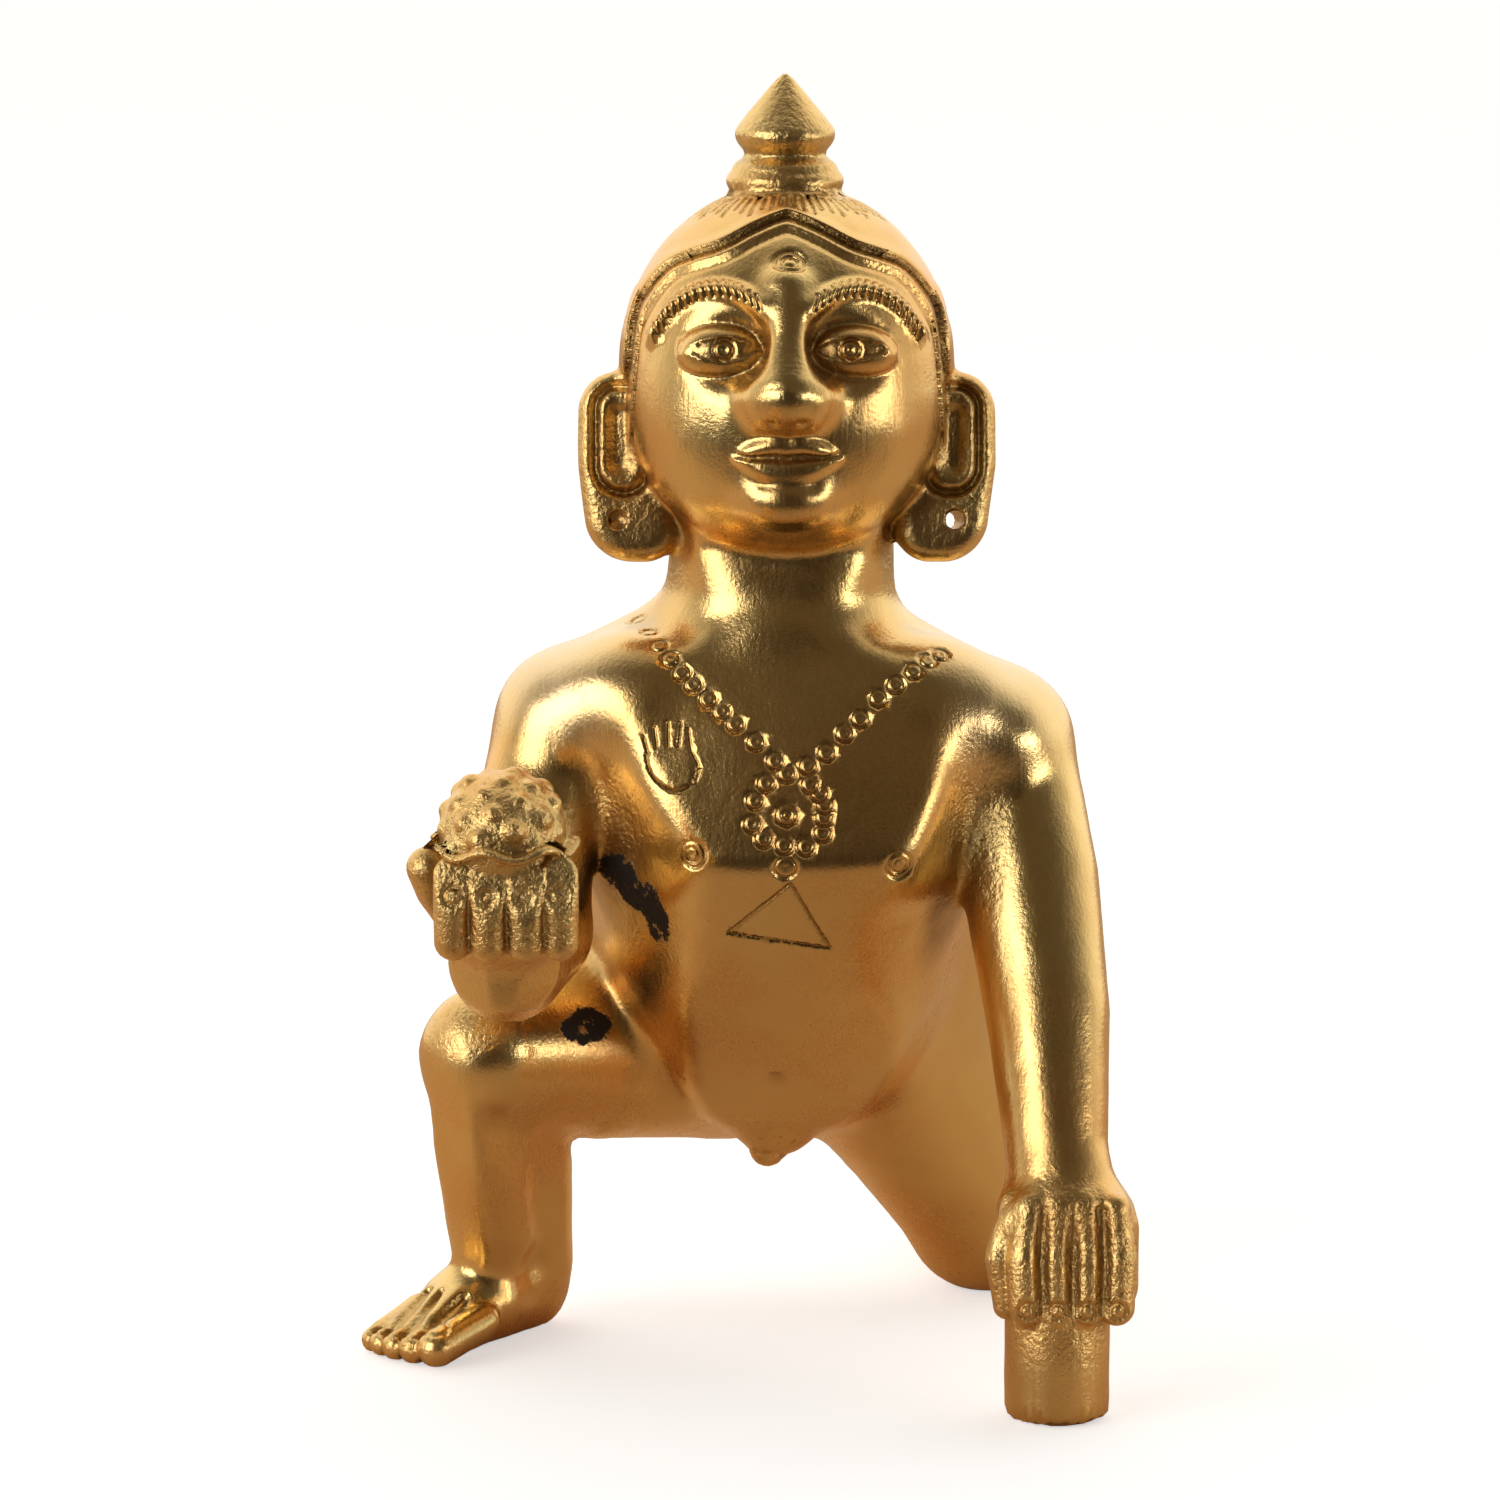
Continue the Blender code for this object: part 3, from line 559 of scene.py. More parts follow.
def right_hand(points, fine):
    """The raised hand, its fingers curled up in front of the sweet, with a wavy cuff round it."""
    shape = mass(points, *RIGHT_PALM)
    bottom, top = FINGER_SPAN
    fingers = []
    for x, y, radius in RIGHT_FINGERS:
        fingers.append(limb(points, [(x, y, bottom, radius), (x, y - 1.0, top, radius)]))
    shape = mix(shape, filed(np.min(fingers, axis=0), points, FINGER_FACE, 0.5), 0.35)
    ring, below, before = FINGER_RING
    for x, y, radius in RIGHT_FINGERS if fine else []:
        shape = shape + ring_cut(points, (x, y - radius - before, top - below), ring, 0.2, 0.28)
    shape = mix(shape, limb(points, RIGHT_THUMB), 0.5)
    if fine:
        radius, height, thickness, wave, waves = CUFF
        x, y, z = (points - np.array([*SWEET_CENTRE[:2], height])).T
        lift = wave * np.cos(waves * np.arctan2(y, x))
        fade = np.clip((limb(points, RIGHT_THUMB) - 0.6) / 1.2, 0, 1)
        cuff = np.hypot((np.hypot(x, y) - radius - 0.4 * lift) * 0.7, z - lift)
        shape = mix(shape, cuff - thickness * (2 * fade - 1), 0.4)
    return mix(shape, sweet(points, fine), 0.3)


def right_foot(points, fine):
    """The flat foot, with five toes side by side."""
    shape = limb(points, [(*HEEL, 3.7), (-24.5, 2.4, 4.0, 4.0), BALLS_OF_FOOT[0]])
    shape = mix(shape, limb(points, [(*HEEL, 3.6), (-27.0, 2.8, 3.0, 3.4), BALLS_OF_FOOT[1]]), 1.5)
    back = toe_back()
    for (x, y), radius in TOES:
        root = (x + back[0] * TOE_LENGTH, y + back[1] * TOE_LENGTH, TOE_ROOT, radius)
        shape = mix(shape, limb(points, [(x, y, radius - 0.2, radius), root]), 0.3)
        if fine:
            shape = shape + ring_cut(points, (x, y, 2 * radius - 0.3), radius * 0.6, 0.18, 0.16)
    for line in toe_lines() if fine else []:
        shape = shape + groove(limb(points, line), 0.5, 0.9)
    return shape


def casting(points, fine=True):
    """The casting before it was engraved, or only the plain masses that the mesh is laid out on."""
    neck = filed(limb(points, NECK), points, NECK_FACE, 1.2)
    shape = mix(torso(points), neck, 3)
    shape = mix(shape, limb(points, LEFT_ARM), 2.0)
    shape = mix(shape, limb(points, RIGHT_ARM), 2.0)
    thighs = np.minimum(limb(points, RIGHT_THIGH), limb(points, LEFT_THIGH))
    shape = mix(shape, thighs, 2.5)
    right_leg = filed(limb(points, RIGHT_SHIN), points, SHIN_FACES, 0.5)
    right_leg = mix(right_leg, limb(points, RIGHT_CALF), 2.6)
    shape = mix(shape, mix(right_leg, near(points, right_foot, HEEL, 30, fine), 2.5), 1.5)
    left_leg = mix(limb(points, LEFT_SHIN), limb(points, LEFT_FOOT), 1.5)
    shape = mix(shape, left_leg, 1.5)
    forearm = filed(limb(points, RIGHT_FOREARM), points, WRIST_FACES, 0.3)
    shape = mix(shape, forearm, 1.0)
    shape = mix(shape, near(points, right_hand, RIGHT_PALM[0], 22, fine), 1.5)
    shape = mix(shape, near(points, left_hand, LEFT_PALM[0], 24, fine), 1.5)
    shape = mix(shape, near(points, head, HEAD[0], 34, fine), 1.5)
    if fine:
        shape = shape + 0.045 * uneven(points, 6.5) + 0.02 * uneven(points[:, [1, 2, 0]], 2.6)
    ground = -points[:, 2]
    return trim(shape, ground, 0.12)


def plain(points):
    """The casting's plain masses."""
    return casting(points, False)


# The punched and engraved marks
PUNCH_RADIUS = 0.74
PUNCH_DEPTH = 0.3
PUNCH_WIDTH = 0.19
SCORE_CUT = (0.15, 0.2)  # the half width and the depth of each kind of stroke
BROW_CUT = (0.15, 0.22)
HAIR_CUT = (0.15, 0.18)
LEFT_STRAND = [
    (-10.0, 67.5), (-8.9, 67.1), (-8.0, 66.3), (-7.0, 65.3), (-6.0, 64.2), (-5.0, 63.2), (-3.7, 62.0),
    (-2.5, 61.0), (-1.3, 60.0), (0.5, 58.5), (2.2, 56.9),
]
RIGHT_STRAND = [
    (16.8, 65.5), (15.7, 65.1), (14.4, 64.3), (12.8, 63.2), (11.3, 62.1), (9.7, 60.4), (8.3, 59.2),
    (6.7, 57.6), (5.1, 56.5),
]
PENDANT_CENTRE = (3.2, 52.4)
PENDANT = [  # each ring's direction, in degrees clockwise from the top, and its distance from the middle
    (0, 3.45), (39, 3.3), (58, 3.4), (76, 3.45), (94, 3.3), (116, 3.5), (148, 3.2), (185, 2.6), (225, 2.85),
    (255, 3.1), (293, 3.0), (326, 3.2),
]
BREAST_RINGS = [(-5.1, 48.9), (13.1, 47.9)]
RIDGE_RING = (3.1, 47.9)
TRIANGLE = [(3.5, 46.4), (-2.0, 41.5), (7.0, 40.0)]
PALM_OUTLINE = [
    (-9.2, 57.2), (-8.8, 55.8), (-7.9, 54.8), (-6.4, 54.3), (-5.1, 54.9), (-4.5, 56.3), (-5.1, 57.6),
    (-5.4, 59.4),
]
PALM_FINGERS = [
    [(-9.0, 57.4), (-9.4, 58.8)],
    [(-8.2, 57.9), (-8.4, 59.6)],
    [(-7.2, 58.0), (-7.2, 60.0)],
    [(-6.3, 58.0), (-6.1, 60.0)],
]
NAVEL = (2.3, 26.1)
FOREHEAD_RING = (0.2, 8.0)
FOREHEAD_CUTS = [(1.35, 0.22), (0.75, 0.18)]  # each ring's radius and half width
IRIS_CUTS = [(0.95, 0.17), (0.0, 0.3)]
HAIR_STROKE_COUNT = 60
HAIR_BAND = (0.42, 0.57)  # how far from the head's top the strokes start and end, in radians


def spaced(route, spacing):
    """Places at even steps along a route of straight stretches."""
    route = np.array(route, dtype=float)
    lengths = np.concatenate([[0], np.cumsum(np.linalg.norm(np.diff(route, axis=0), axis=1))])
    count = int(round(lengths[-1] / spacing)) + 1
    at = np.linspace(0, lengths[-1], count)
    return np.stack([np.interp(at, lengths, route[:, i]) for i in range(route.shape[1])], axis=1)


def on_front(places):
    """Where the casting's front lies at each x and z, and which way the surface looks there."""
    points = np.array([(x, -32.0, z) for x, z in places], dtype=float)
    for _ in range(60):
        points[:, 1] += 0.8 * casting(points)
    _, slope = slopes(casting, points)
    return points, slope / np.linalg.norm(slope, axis=1)[:, None]


def slopes(form, points, step=0.03):
    """The distance and its slope at each point, from four points around it."""
    corners = np.array([(1, 1, 1), (1, -1, -1), (-1, 1, -1), (-1, -1, 1)])
    total = np.zeros(len(points))
    slope = np.zeros_like(points)
    for corner in corners:
        value = form(points + corner * step)
        total += value / 4
        slope += value[:, None] * corner / (4 * step)
    return total, slope


def chest_marks():
    """The rings as centre, normal, radius and depth, and the strokes as two ends, on chest and belly."""
    rings = [(x, z, PUNCH_RADIUS, PUNCH_DEPTH) for x, z in LEFT_STRAND + RIGHT_STRAND]
    for degrees, distance in PENDANT:
        turn = math.radians(degrees)
        x = PENDANT_CENTRE[0] + distance * math.sin(turn)
        z = PENDANT_CENTRE[1] + distance * math.cos(turn)
        rings.append((x, z, PUNCH_RADIUS, PUNCH_DEPTH))
    rings += [(*PENDANT_CENTRE, 0.95, 0.28), (*PENDANT_CENTRE, 0.35, 0.22), (*RIDGE_RING, 0.98, 0.28)]
    for x, z in BREAST_RINGS:
        rings += [(x, z, 1.2, 0.26), (x, z, 0.7, 0.24)]
    centres, normals = on_front([ring[:2] for ring in rings])
    placed = [(centre, normal, *ring[2:]) for centre, normal, ring in zip(centres, normals, rings)]
    routes = [TRIANGLE[:2], [TRIANGLE[0], TRIANGLE[2]], TRIANGLE[1:], *PALM_FINGERS]
    routes.append(smooth_line(PALM_OUTLINE, 3))
    strokes = []
    for route in routes:
        places, _ = on_front(spaced(route, 0.6))
        strokes += list(zip(places, places[1:]))
    return placed, strokes


def brow_strokes():
    """The hatching of the brows, as strokes across and up on one side of the face."""
    strokes = []
    for u, w in spaced(BROW, 0.72)[1:]:
        strokes.append([np.array([u - 0.1, w - 0.6]), np.array([u + 0.2, w + 0.75])])
    return strokes


def surface_of_head(direction):
    """The place on the hair in a direction from the head's middle."""
    low_end, high_end = 8.0, 22.0
    while high_end - low_end > 0.01:
        middle = (low_end + high_end) / 2
        if skull(np.array([direction]) * middle)[0] - HAIR_THICKNESS < 0:
            low_end = middle
        else:
            high_end = middle
    return np.array(direction) * low_end


def hair_strokes():
    """Strokes of uneven lengths that fan out round the topknot."""
    strokes = []
    for n in range(HAIR_STROKE_COUNT):
        turn = 2 * math.pi * (n + 0.5) / HAIR_STROKE_COUNT
        start = HAIR_BAND[0] + 0.02 * (n % 2)
        end = HAIR_BAND[1] + 0.03 * (n % 3)
        pair = []
        for lean in (start, end):
            out = math.sin(lean)
            pair.append(surface_of_head((out * math.sin(turn), -out * math.cos(turn), math.cos(lean))))
        strokes.append(pair)
    return strokes


def comb(q):
    """Shallow combed waves on the back of the hair, running from the topknot down to the nape."""
    turn = np.arctan2(q[:, 0], q[:, 1])
    behind = np.clip((q[:, 1] - 1.0) / 3.0, 0, 1)
    down = np.clip((11.8 - q[:, 2]) / 2.0, 0, 1) * np.clip((q[:, 2] - HAIR_NAPE) / 1.5, 0, 1)
    fine = np.cos(turn * 44) * np.clip(np.hypot(q[:, 0], q[:, 1]) / 8.0, 0, 1)
    return 0.055 * (1 + fine) * behind * down


CHEST_RINGS, CHEST_STROKES = chest_marks()
BROW_STROKES = brow_strokes()
HAIR_STROKES = hair_strokes()
RING_FOREHEAD = np.array([FOREHEAD_RING[0], face_front(*FOREHEAD_RING), FOREHEAD_RING[1]])
IRIS = np.array([EYE_PLACE[0], EYE_FRONT - 0.1, EYE_PLACE[1] + 0.1])


def line_distance(points, start, end):
    """The distance to a straight stroke."""
    along = np.clip((points - start) @ (end - start) / ((end - start) @ (end - start)), 0, 1)
    return np.linalg.norm(points - start - along[:, None] * (end - start), axis=1)


def punched(points):
    """How deep the chest's punched rings are. A punch held askew bites deeper on its lower side."""
    cut = np.zeros(len(points))
    for centre, normal, radius, depth in CHEST_RINGS:
        d = points - centre
        close = np.flatnonzero((np.abs(d) < radius + 0.9).all(axis=1))
        if len(close) == 0:
            continue
        d = d[close]
        rise = d @ normal
        flat = d - rise[:, None] * normal
        away = np.linalg.norm(flat, axis=1)
        bite = 0.75 + 0.45 * np.clip(-flat[:, 2] / radius, -1, 1)
        cup = 0.35 * depth * np.clip(1 - away / radius, 0, 1)
        ring = groove(away - radius, PUNCH_WIDTH, depth) * bite + cup
        cut[close] = np.maximum(cut[close], ring * (np.abs(rise) < 1.2))
    return cut


def scored(points):
    """How deep the chest's and the belly's scored strokes are."""
    cut = np.zeros(len(points))
    for start, end in CHEST_STROKES:
        close = np.flatnonzero(np.linalg.norm(points - (start + end) / 2, axis=1) < 1.4)
        if len(close):
            stroke = groove(line_distance(points[close], start, end), *SCORE_CUT)
            cut[close] = np.maximum(cut[close], stroke)
    return cut


def chest_cut(points):
    """How deep the chest's marks are cut."""
    return np.maximum(punched(points), scored(points))


def head_cut(points):
    """How deep the head's marks are cut."""
    q = tilted(points, HEAD[0], HEAD[2])
    half = to_half(q)
    cut = comb(q)
    in_front = q[:, 1] < -4
    face = half[:, [0, 2]]
    for start, end in BROW_STROKES:
        close = np.flatnonzero((np.linalg.norm(face - (start + end) / 2, axis=1) < 1.5) & in_front)
        cut[close] = np.maximum(cut[close], groove(line_distance(face[close], start, end), *BROW_CUT))
    for start, end in HAIR_STROKES:
        close = np.flatnonzero(np.linalg.norm(q - (start + end) / 2, axis=1) < 2.6)
        cut[close] = np.maximum(cut[close], groove(line_distance(q[close], start, end), *HAIR_CUT))
    for radius, width in FOREHEAD_CUTS:
        cut = np.maximum(cut, ring_cut(q, RING_FOREHEAD, radius, width, 0.22))
    for radius, width in IRIS_CUTS:
        cut = np.maximum(cut, ring_cut(half, IRIS, radius, width, 0.2))
    return cut


def regional(points, form, centre, reach):
    """A form's values within reach of a centre, and zero elsewhere."""
    result = np.zeros(len(points))
    close = np.flatnonzero(np.linalg.norm(points - np.array(centre), axis=1) < reach)
    if len(close):
        result[close] = form(points[close])
    return result


CHEST_REGION = ((3.2, -16, 55), 26)  # where the marks lie, so that they are looked for there only
HEAD_REGION = (HEAD[0], 24)


def marks(points):
    """How deep every mark is cut."""
    cut = regional(points, chest_cut, *CHEST_REGION)
    cut += regional(points, head_cut, *HEAD_REGION)
    navel = np.array([NAVEL[0], -4.7, NAVEL[1]])
    return cut + groove(np.linalg.norm(points - navel, axis=1), 0.8, 0.35)


# The mesh
SMOOTH_EDGE = 1.3
FINE_REGIONS = [
    # centre, reach and the length of a mesh edge there
    ((3.2, -15.5, 87.5), 9.5, 0.30),
    ((-6.9, -10.0, 57.0), 4.6, 0.11),
    ((3.2, -13.0, 98.0), 9.0, 0.42),
    ((-11.4, -5.0, 81.5), 8.5, 0.40),
    ((17.8, -5.0, 81.5), 8.5, 0.40),
    ((3.1, -2.0, 110.5), 6.0, 0.45),
    ((-20.9, -39.3, 51.5), 8.5, 0.36),
    ((27.6, -26.5, 14.0), 8.0, 0.38),
    ((-31.0, -3.5, 2.0), 6.5, 0.42),
    ((3.2, 4.0, 92.0), 17.0, 0.8),
    ((-22.6, -2.0, 17.5), 8.0, 0.7),
    ((-20.9, -37.5, 42.0), 4.5, 0.5),
    ((28.0, -29.0, 10.5), 5.5, 0.28),
    ((3.2, -16.0, 47.0), 13.0, 0.9),
]
MARK_EDGE = 0.15
MARK_DEPTH = 0.035
BASE_TRIANGLES = 40000


def wanted_edge(points):
    """How long a mesh edge may be at each point."""
    size = np.full(len(points), SMOOTH_EDGE)
    for centre, reach, edge in FINE_REGIONS:
        away = np.linalg.norm(points - np.array(centre), axis=1) - reach
        size = np.minimum(size, edge + np.maximum(away, 0) * 0.3)
    cut = marks(points) - regional(points, comb_cut, *HEAD_REGION)
    size = np.where(cut > MARK_DEPTH, np.minimum(size, MARK_EDGE), size)
    q = tilted(points, HEAD[0], HEAD[2])
    edge = np.abs(hairline(to_half(q)) + BEAD[0])
    on_edge = (edge < 1.4) & (q[:, 1] < 0) & (np.linalg.norm(q, axis=1) < 17.5)
    return np.where(on_edge, np.minimum(size, 0.26), size)


def comb_cut(points):
    """The combed waves alone, which are broad."""
    return comb(tilted(points, HEAD[0], HEAD[2]))


def points_of(mesh):
    """The mesh's places, in parts from the figure's own zero."""
    places = np.empty(len(mesh.vertices) * 3)
    mesh.vertices.foreach_get("co", places)
    return places.reshape(-1, 3) / PART + BASE_CENTRE


def place_points(mesh, points):
    """Puts the mesh's vertices at places given in parts."""
    mesh.vertices.foreach_set("co", ((points - BASE_CENTRE) * PART).ravel())
    mesh.update()


def settle(mesh, rounds, most=0.8):
    """Moves every vertex on to the plain masses."""
    points = points_of(mesh)
    for _ in range(rounds):
        value, slope = slopes(plain, points)
        steep = np.maximum((slope * slope).sum(axis=1), 0.3)
        shift = slope * (value / steep)[:, None]
        length = np.linalg.norm(shift, axis=1)
        points -= shift * np.minimum(1, most / np.maximum(length, 1e-9))[:, None]
    place_points(mesh, points)


FACE_REACH = 5.5  # how far outside the plain masses the search for the fine surface starts
SWEET_REACH = 1.6
USUAL_REACH = 0.15
MOST_MOVED = 1.5


def press(points):
    """Lays places on the plain masses on to the fine casting, each along the plain surface's normal."""
    _, slope = slopes(plain, points)
    normals = slope / np.maximum(np.linalg.norm(slope, axis=1), 1e-9)[:, None]
    q = tilted(points, HEAD[0], HEAD[2])
    face = (q[:, 1] < -4) & (np.abs(q[:, 0]) < 12.5) & (np.abs(q[:, 2] + 2) < 11)
    face &= np.linalg.norm(q, axis=1) < 20
    on_sweet = np.linalg.norm(points - np.array(SWEET_CENTRE), axis=1) < SWEET_RADIUS + 0.4
    on_sweet &= (points[:, 2] > CUFF[1] - 0.2) & (limb(points, RIGHT_THUMB) > 2.4)
    out = np.where(on_sweet, SWEET_REACH, np.where(face, FACE_REACH, USUAL_REACH))
    blocked = casting(points + normals * out[:, None]) < 0
    out[blocked] = USUAL_REACH
    moving = np.arange(len(points))
    for _ in range(40):
        value = casting(points[moving] + normals[moving] * out[moving][:, None])
        out[moving] -= 0.75 * value
        moving = moving[np.abs(value) > 0.004]
        if len(moving) == 0:
            break
    return points + normals * np.clip(out, -MOST_MOVED, np.where(face, FACE_REACH, MOST_MOVED))[:, None]


def refine(mesh, rounds):
    """Splits every edge that would be too long on the fine casting, and evens the mesh out."""
    for _ in range(rounds):
        fine = bmesh.new()
        fine.from_mesh(mesh)
        ends = np.array([[vert.index for vert in edge.verts] for edge in fine.edges])
        points = press(points_of(mesh))
        first, second = points[ends[:, 0]], points[ends[:, 1]]
        long = np.linalg.norm(first - second, axis=1) > 1.4 * wanted_edge((first + second) / 2)
        edges = [edge for edge, split in zip(fine.edges[:], long) if split]
        if edges:
            bmesh.ops.subdivide_edges(fine, edges=edges, cuts=1)
            bmesh.ops.triangulate(fine, faces=[f for f in fine.faces if len(f.verts) > 3])
            axes = {"use_axis_x": True, "use_axis_y": True, "use_axis_z": True}
            bmesh.ops.smooth_vert(fine, verts=fine.verts[:], factor=0.5, **axes)
            fine.to_mesh(mesh)
        fine.free()
        settle(mesh, 1)


def apply_modifier(target, kind, **settings):
    """Adds a modifier with its settings and applies it."""
    modifier = target.modifiers.new(kind.title(), kind)
    for name, value in settings.items():
        setattr(modifier, name, value)
    with bpy.context.temp_override(object=target, active_object=target):
        bpy.ops.object.modifier_apply(modifier=modifier.name)


def add_attribute(mesh, name, values):
    """Stores a number from 0 to 1 on every vertex, for the material."""
    attribute = mesh.attributes.new(name, "FLOAT", "POINT")
    attribute.data.foreach_set("value", np.clip(values, 0, 1).astype(np.float32))


CAST_REGIONS = [
    # centre, radii and how rough the cast skin stays there
    ((-20.9, -39.5, 50.5), (9, 9, 9), 1.0),
    ((27.4, -27.0, 13.5), (8.5, 5.5, 8), 0.9),
    ((3.1, -2.0, 110.5), (8, 8, 7), 0.55),
    ((-11.6, -4.0, 81.5), (6, 5, 10), 0.75),
    ((18.0, -4.0, 81.5), (6, 5, 10), 0.75),
    ((-32.0, -4.5, 1.5), (6, 6, 4), 0.6),
    ((-12.5, -7.0, 49.0), (5.0, 8.0, 8.5), 1.0),
    ((19.6, -9.0, 48.5), (4.0, 8.0, 9.5), 1.0),
    ((-26.0, -8.0, 31.5), (5.0, 4.0, 2.6), 0.8),
    ((2.0, 4.0, 18.5), (7.0, 6.0, 3.5), 0.6),
]
PAINTED_HIGHLIGHT_REGIONS = [  # where a pale highlight is painted on the shoulders: centre and radii
    ((-13.5, -3.0, 61.5), (8.5, 9.0, 7.0)),
    ((19.5, -4.0, 60.0), (8.0, 9.0, 8.5)),
]
STAINS = [  # where the black oxide is: centre and radii
    ((-11.8, -10.5, 46.0), (2.4, 4.0, 2.0)),
    ((-9.8, -11.5, 44.2), (3.1, 4.0, 1.9)),
    ((-8.2, -12.5, 41.8), (1.5, 3.0, 2.4)),
    ((-14.6, -3.5, 30.6), (2.9, 3.6, 1.8)),
    ((-13.0, -6.0, 47.5), (1.8, 4.0, 2.2)),
]


def soft_inside(points, centre, radii):
    """1 inside an ellipsoid, falling to 0 across its edge."""
    reach = np.linalg.norm((points - np.array(centre)) / np.array(radii), axis=1)
    return np.clip((1.25 - reach) / 0.5, 0, 1)


def dress(mesh):
    """Cuts the marks and stores the masks that the brass reads."""
    points = points_of(mesh)
    _, slope = slopes(casting, points)
    normals = slope / np.maximum(np.linalg.norm(slope, axis=1), 1e-9)[:, None]
    rough = np.zeros(len(points))
    for centre, radii, strength in CAST_REGIONS:
        rough = np.maximum(rough, strength * soft_inside(points, centre, radii))
    hollow = np.zeros(len(points))
    for reach in (0.7, 1.8, 4.0):
        hollow = np.maximum(hollow, 1 - casting(points + normals * reach) / reach)
    stain = np.zeros(len(points))
    for centre, radii in STAINS:
        stain = np.maximum(stain, soft_inside(points, centre, radii))
    depth, lean = slopes(marks, points)
    place_points(mesh, points - normals * depth[:, None])
    add_attribute(mesh, "cast_skin", rough)
    add_attribute(mesh, "hollow", hollow)
    scores = regional(points, scored, *CHEST_REGION) / 0.16
    dirty = np.maximum(0.45 * depth / PUNCH_DEPTH, 0.9 * seams(points))
    add_attribute(mesh, "cut", np.maximum(dirty, scores))
    # A highlight painted pale on the shoulders, stored for the brass.
    painted_highlight = np.max([soft_inside(points, *region) for region in PAINTED_HIGHLIGHT_REGIONS], axis=0)
    add_attribute(mesh, "painted_highlight", painted_highlight)
    add_attribute(mesh, "stain", stain)
    lean -= (lean * normals).sum(axis=1)[:, None] * normals
    normals = normals + lean
    normals /= np.linalg.norm(normals, axis=1)[:, None]
    mesh.shade_smooth()
    mesh.normals_split_custom_set_from_vertices([tuple(normal) for normal in normals])


def make_figure():
    """The dressed casting, which starts from the solid's own mesh."""
    mesh = solid.data.copy()
    mesh.name = "brass_figure"
    piece = bpy.data.objects.new("brass_figure", mesh)
    bpy.context.scene.collection.objects.link(piece)
    welded = bmesh.new()
    welded.from_mesh(mesh)
    bmesh.ops.remove_doubles(welded, verts=welded.verts[:], dist=1e-7)
    welded.to_mesh(mesh)
    welded.free()
    apply_modifier(piece, "REMESH", mode="VOXEL", voxel_size=0.6 * PART)
    settle(piece.data, 3)
    share = BASE_TRIANGLES / (2 * len(piece.data.polygons))
    apply_modifier(piece, "DECIMATE", ratio=share, use_collapse_triangulate=True)
    settle(piece.data, 2)
    refine(piece.data, 5)
    settle(piece.data, 2)
    place_points(piece.data, press(points_of(piece.data)))
    dress(piece.data)
    return piece


# Brass
class Nodes:
    """Short ways to add nodes to one tree."""

    def __init__(self, tree):
        self.tree = tree

    def add(self, kind, **settings):
        node = self.tree.nodes.new(kind)
        for name, value in settings.items():
            setattr(node, name, value)
        return node

    def link(self, source, target):
        self.tree.links.new(source, target)

    def put(self, socket, value):
        """Sets a socket to a number, a colour or another socket."""
        if isinstance(value, tuple):
            socket.default_value = (*value, 1)
        elif isinstance(value, (int, float)):
            socket.default_value = value
        else:
            self.link(value, socket)

    def math(self, operation, first, second=0.0, clamp=False):
        """A sum on numbers or sockets."""
        node = self.add("ShaderNodeMath", operation=operation, use_clamp=clamp)
        self.put(node.inputs[0], first)
        self.put(node.inputs[1], second)
        return node.outputs[0]

    def noise(self, vector, scale, detail=4.0, roughness=0.55):
        """A noise value from 0 to 1."""
        node = self.add("ShaderNodeTexNoise")
        node.inputs["Scale"].default_value = scale
        node.inputs["Detail"].default_value = detail
        node.inputs["Roughness"].default_value = roughness
        self.link(vector, node.inputs["Vector"])
        return node.outputs[0]

    def span(self, value, low_in, high_in, low_out=0.0, high_out=1.0):
        """A value moved from one range to another."""
        node = self.add("ShaderNodeMapRange")
        node.inputs["From Min"].default_value = low_in
        node.inputs["From Max"].default_value = high_in
        node.inputs["To Min"].default_value = low_out
        node.inputs["To Max"].default_value = high_out
        self.link(value, node.inputs["Value"])
        return node.outputs[0]

    def blend(self, share, first, second):
        """One colour mixed into another."""
        node = self.add("ShaderNodeMix", data_type="RGBA")
        self.put(node.inputs["Factor"], share)
        self.put(node.inputs["A"], first)
        self.put(node.inputs["B"], second)
        return node.outputs["Result"]

    def stretched(self, vector, turn, lengths):
        """The places turned and stretched, for streaks that run one way."""
        node = self.add("ShaderNodeMapping")
        node.inputs["Rotation"].default_value = turn
        node.inputs["Scale"].default_value = lengths
        self.link(vector, node.inputs["Vector"])
        return node.outputs[0]


CLOUD_SCALE = 60  # how many features of each pattern fit in a metre
PATCH_SCALE = 330
BLOT_SCALE = 640
LUMP_SCALE = 1900
GRAIN_SCALE = 3200
FILE_MARKS = ((0.3, 0.5, 0.9), (2600, 2600, 130))  # which way the streaks run, and how fine they are
CROSS_MARKS = ((1.2, -0.4, 0.2), (3000, 150, 3000))
CAST_HEIGHT = 0.24  # in parts
GRAIN_HEIGHT = 0.022
STREAK_HEIGHT = 0.018
GOLD = (0.890, 0.630, 0.250)
COPPERY = (0.840, 0.480, 0.160)
# the pale gold of the highlight painted on the shoulders
PAINTED_HIGHLIGHT_GOLD = (0.900, 0.730, 0.470)
TARNISH = (0.230, 0.125, 0.035)
OXIDE = (0.020, 0.013, 0.011)


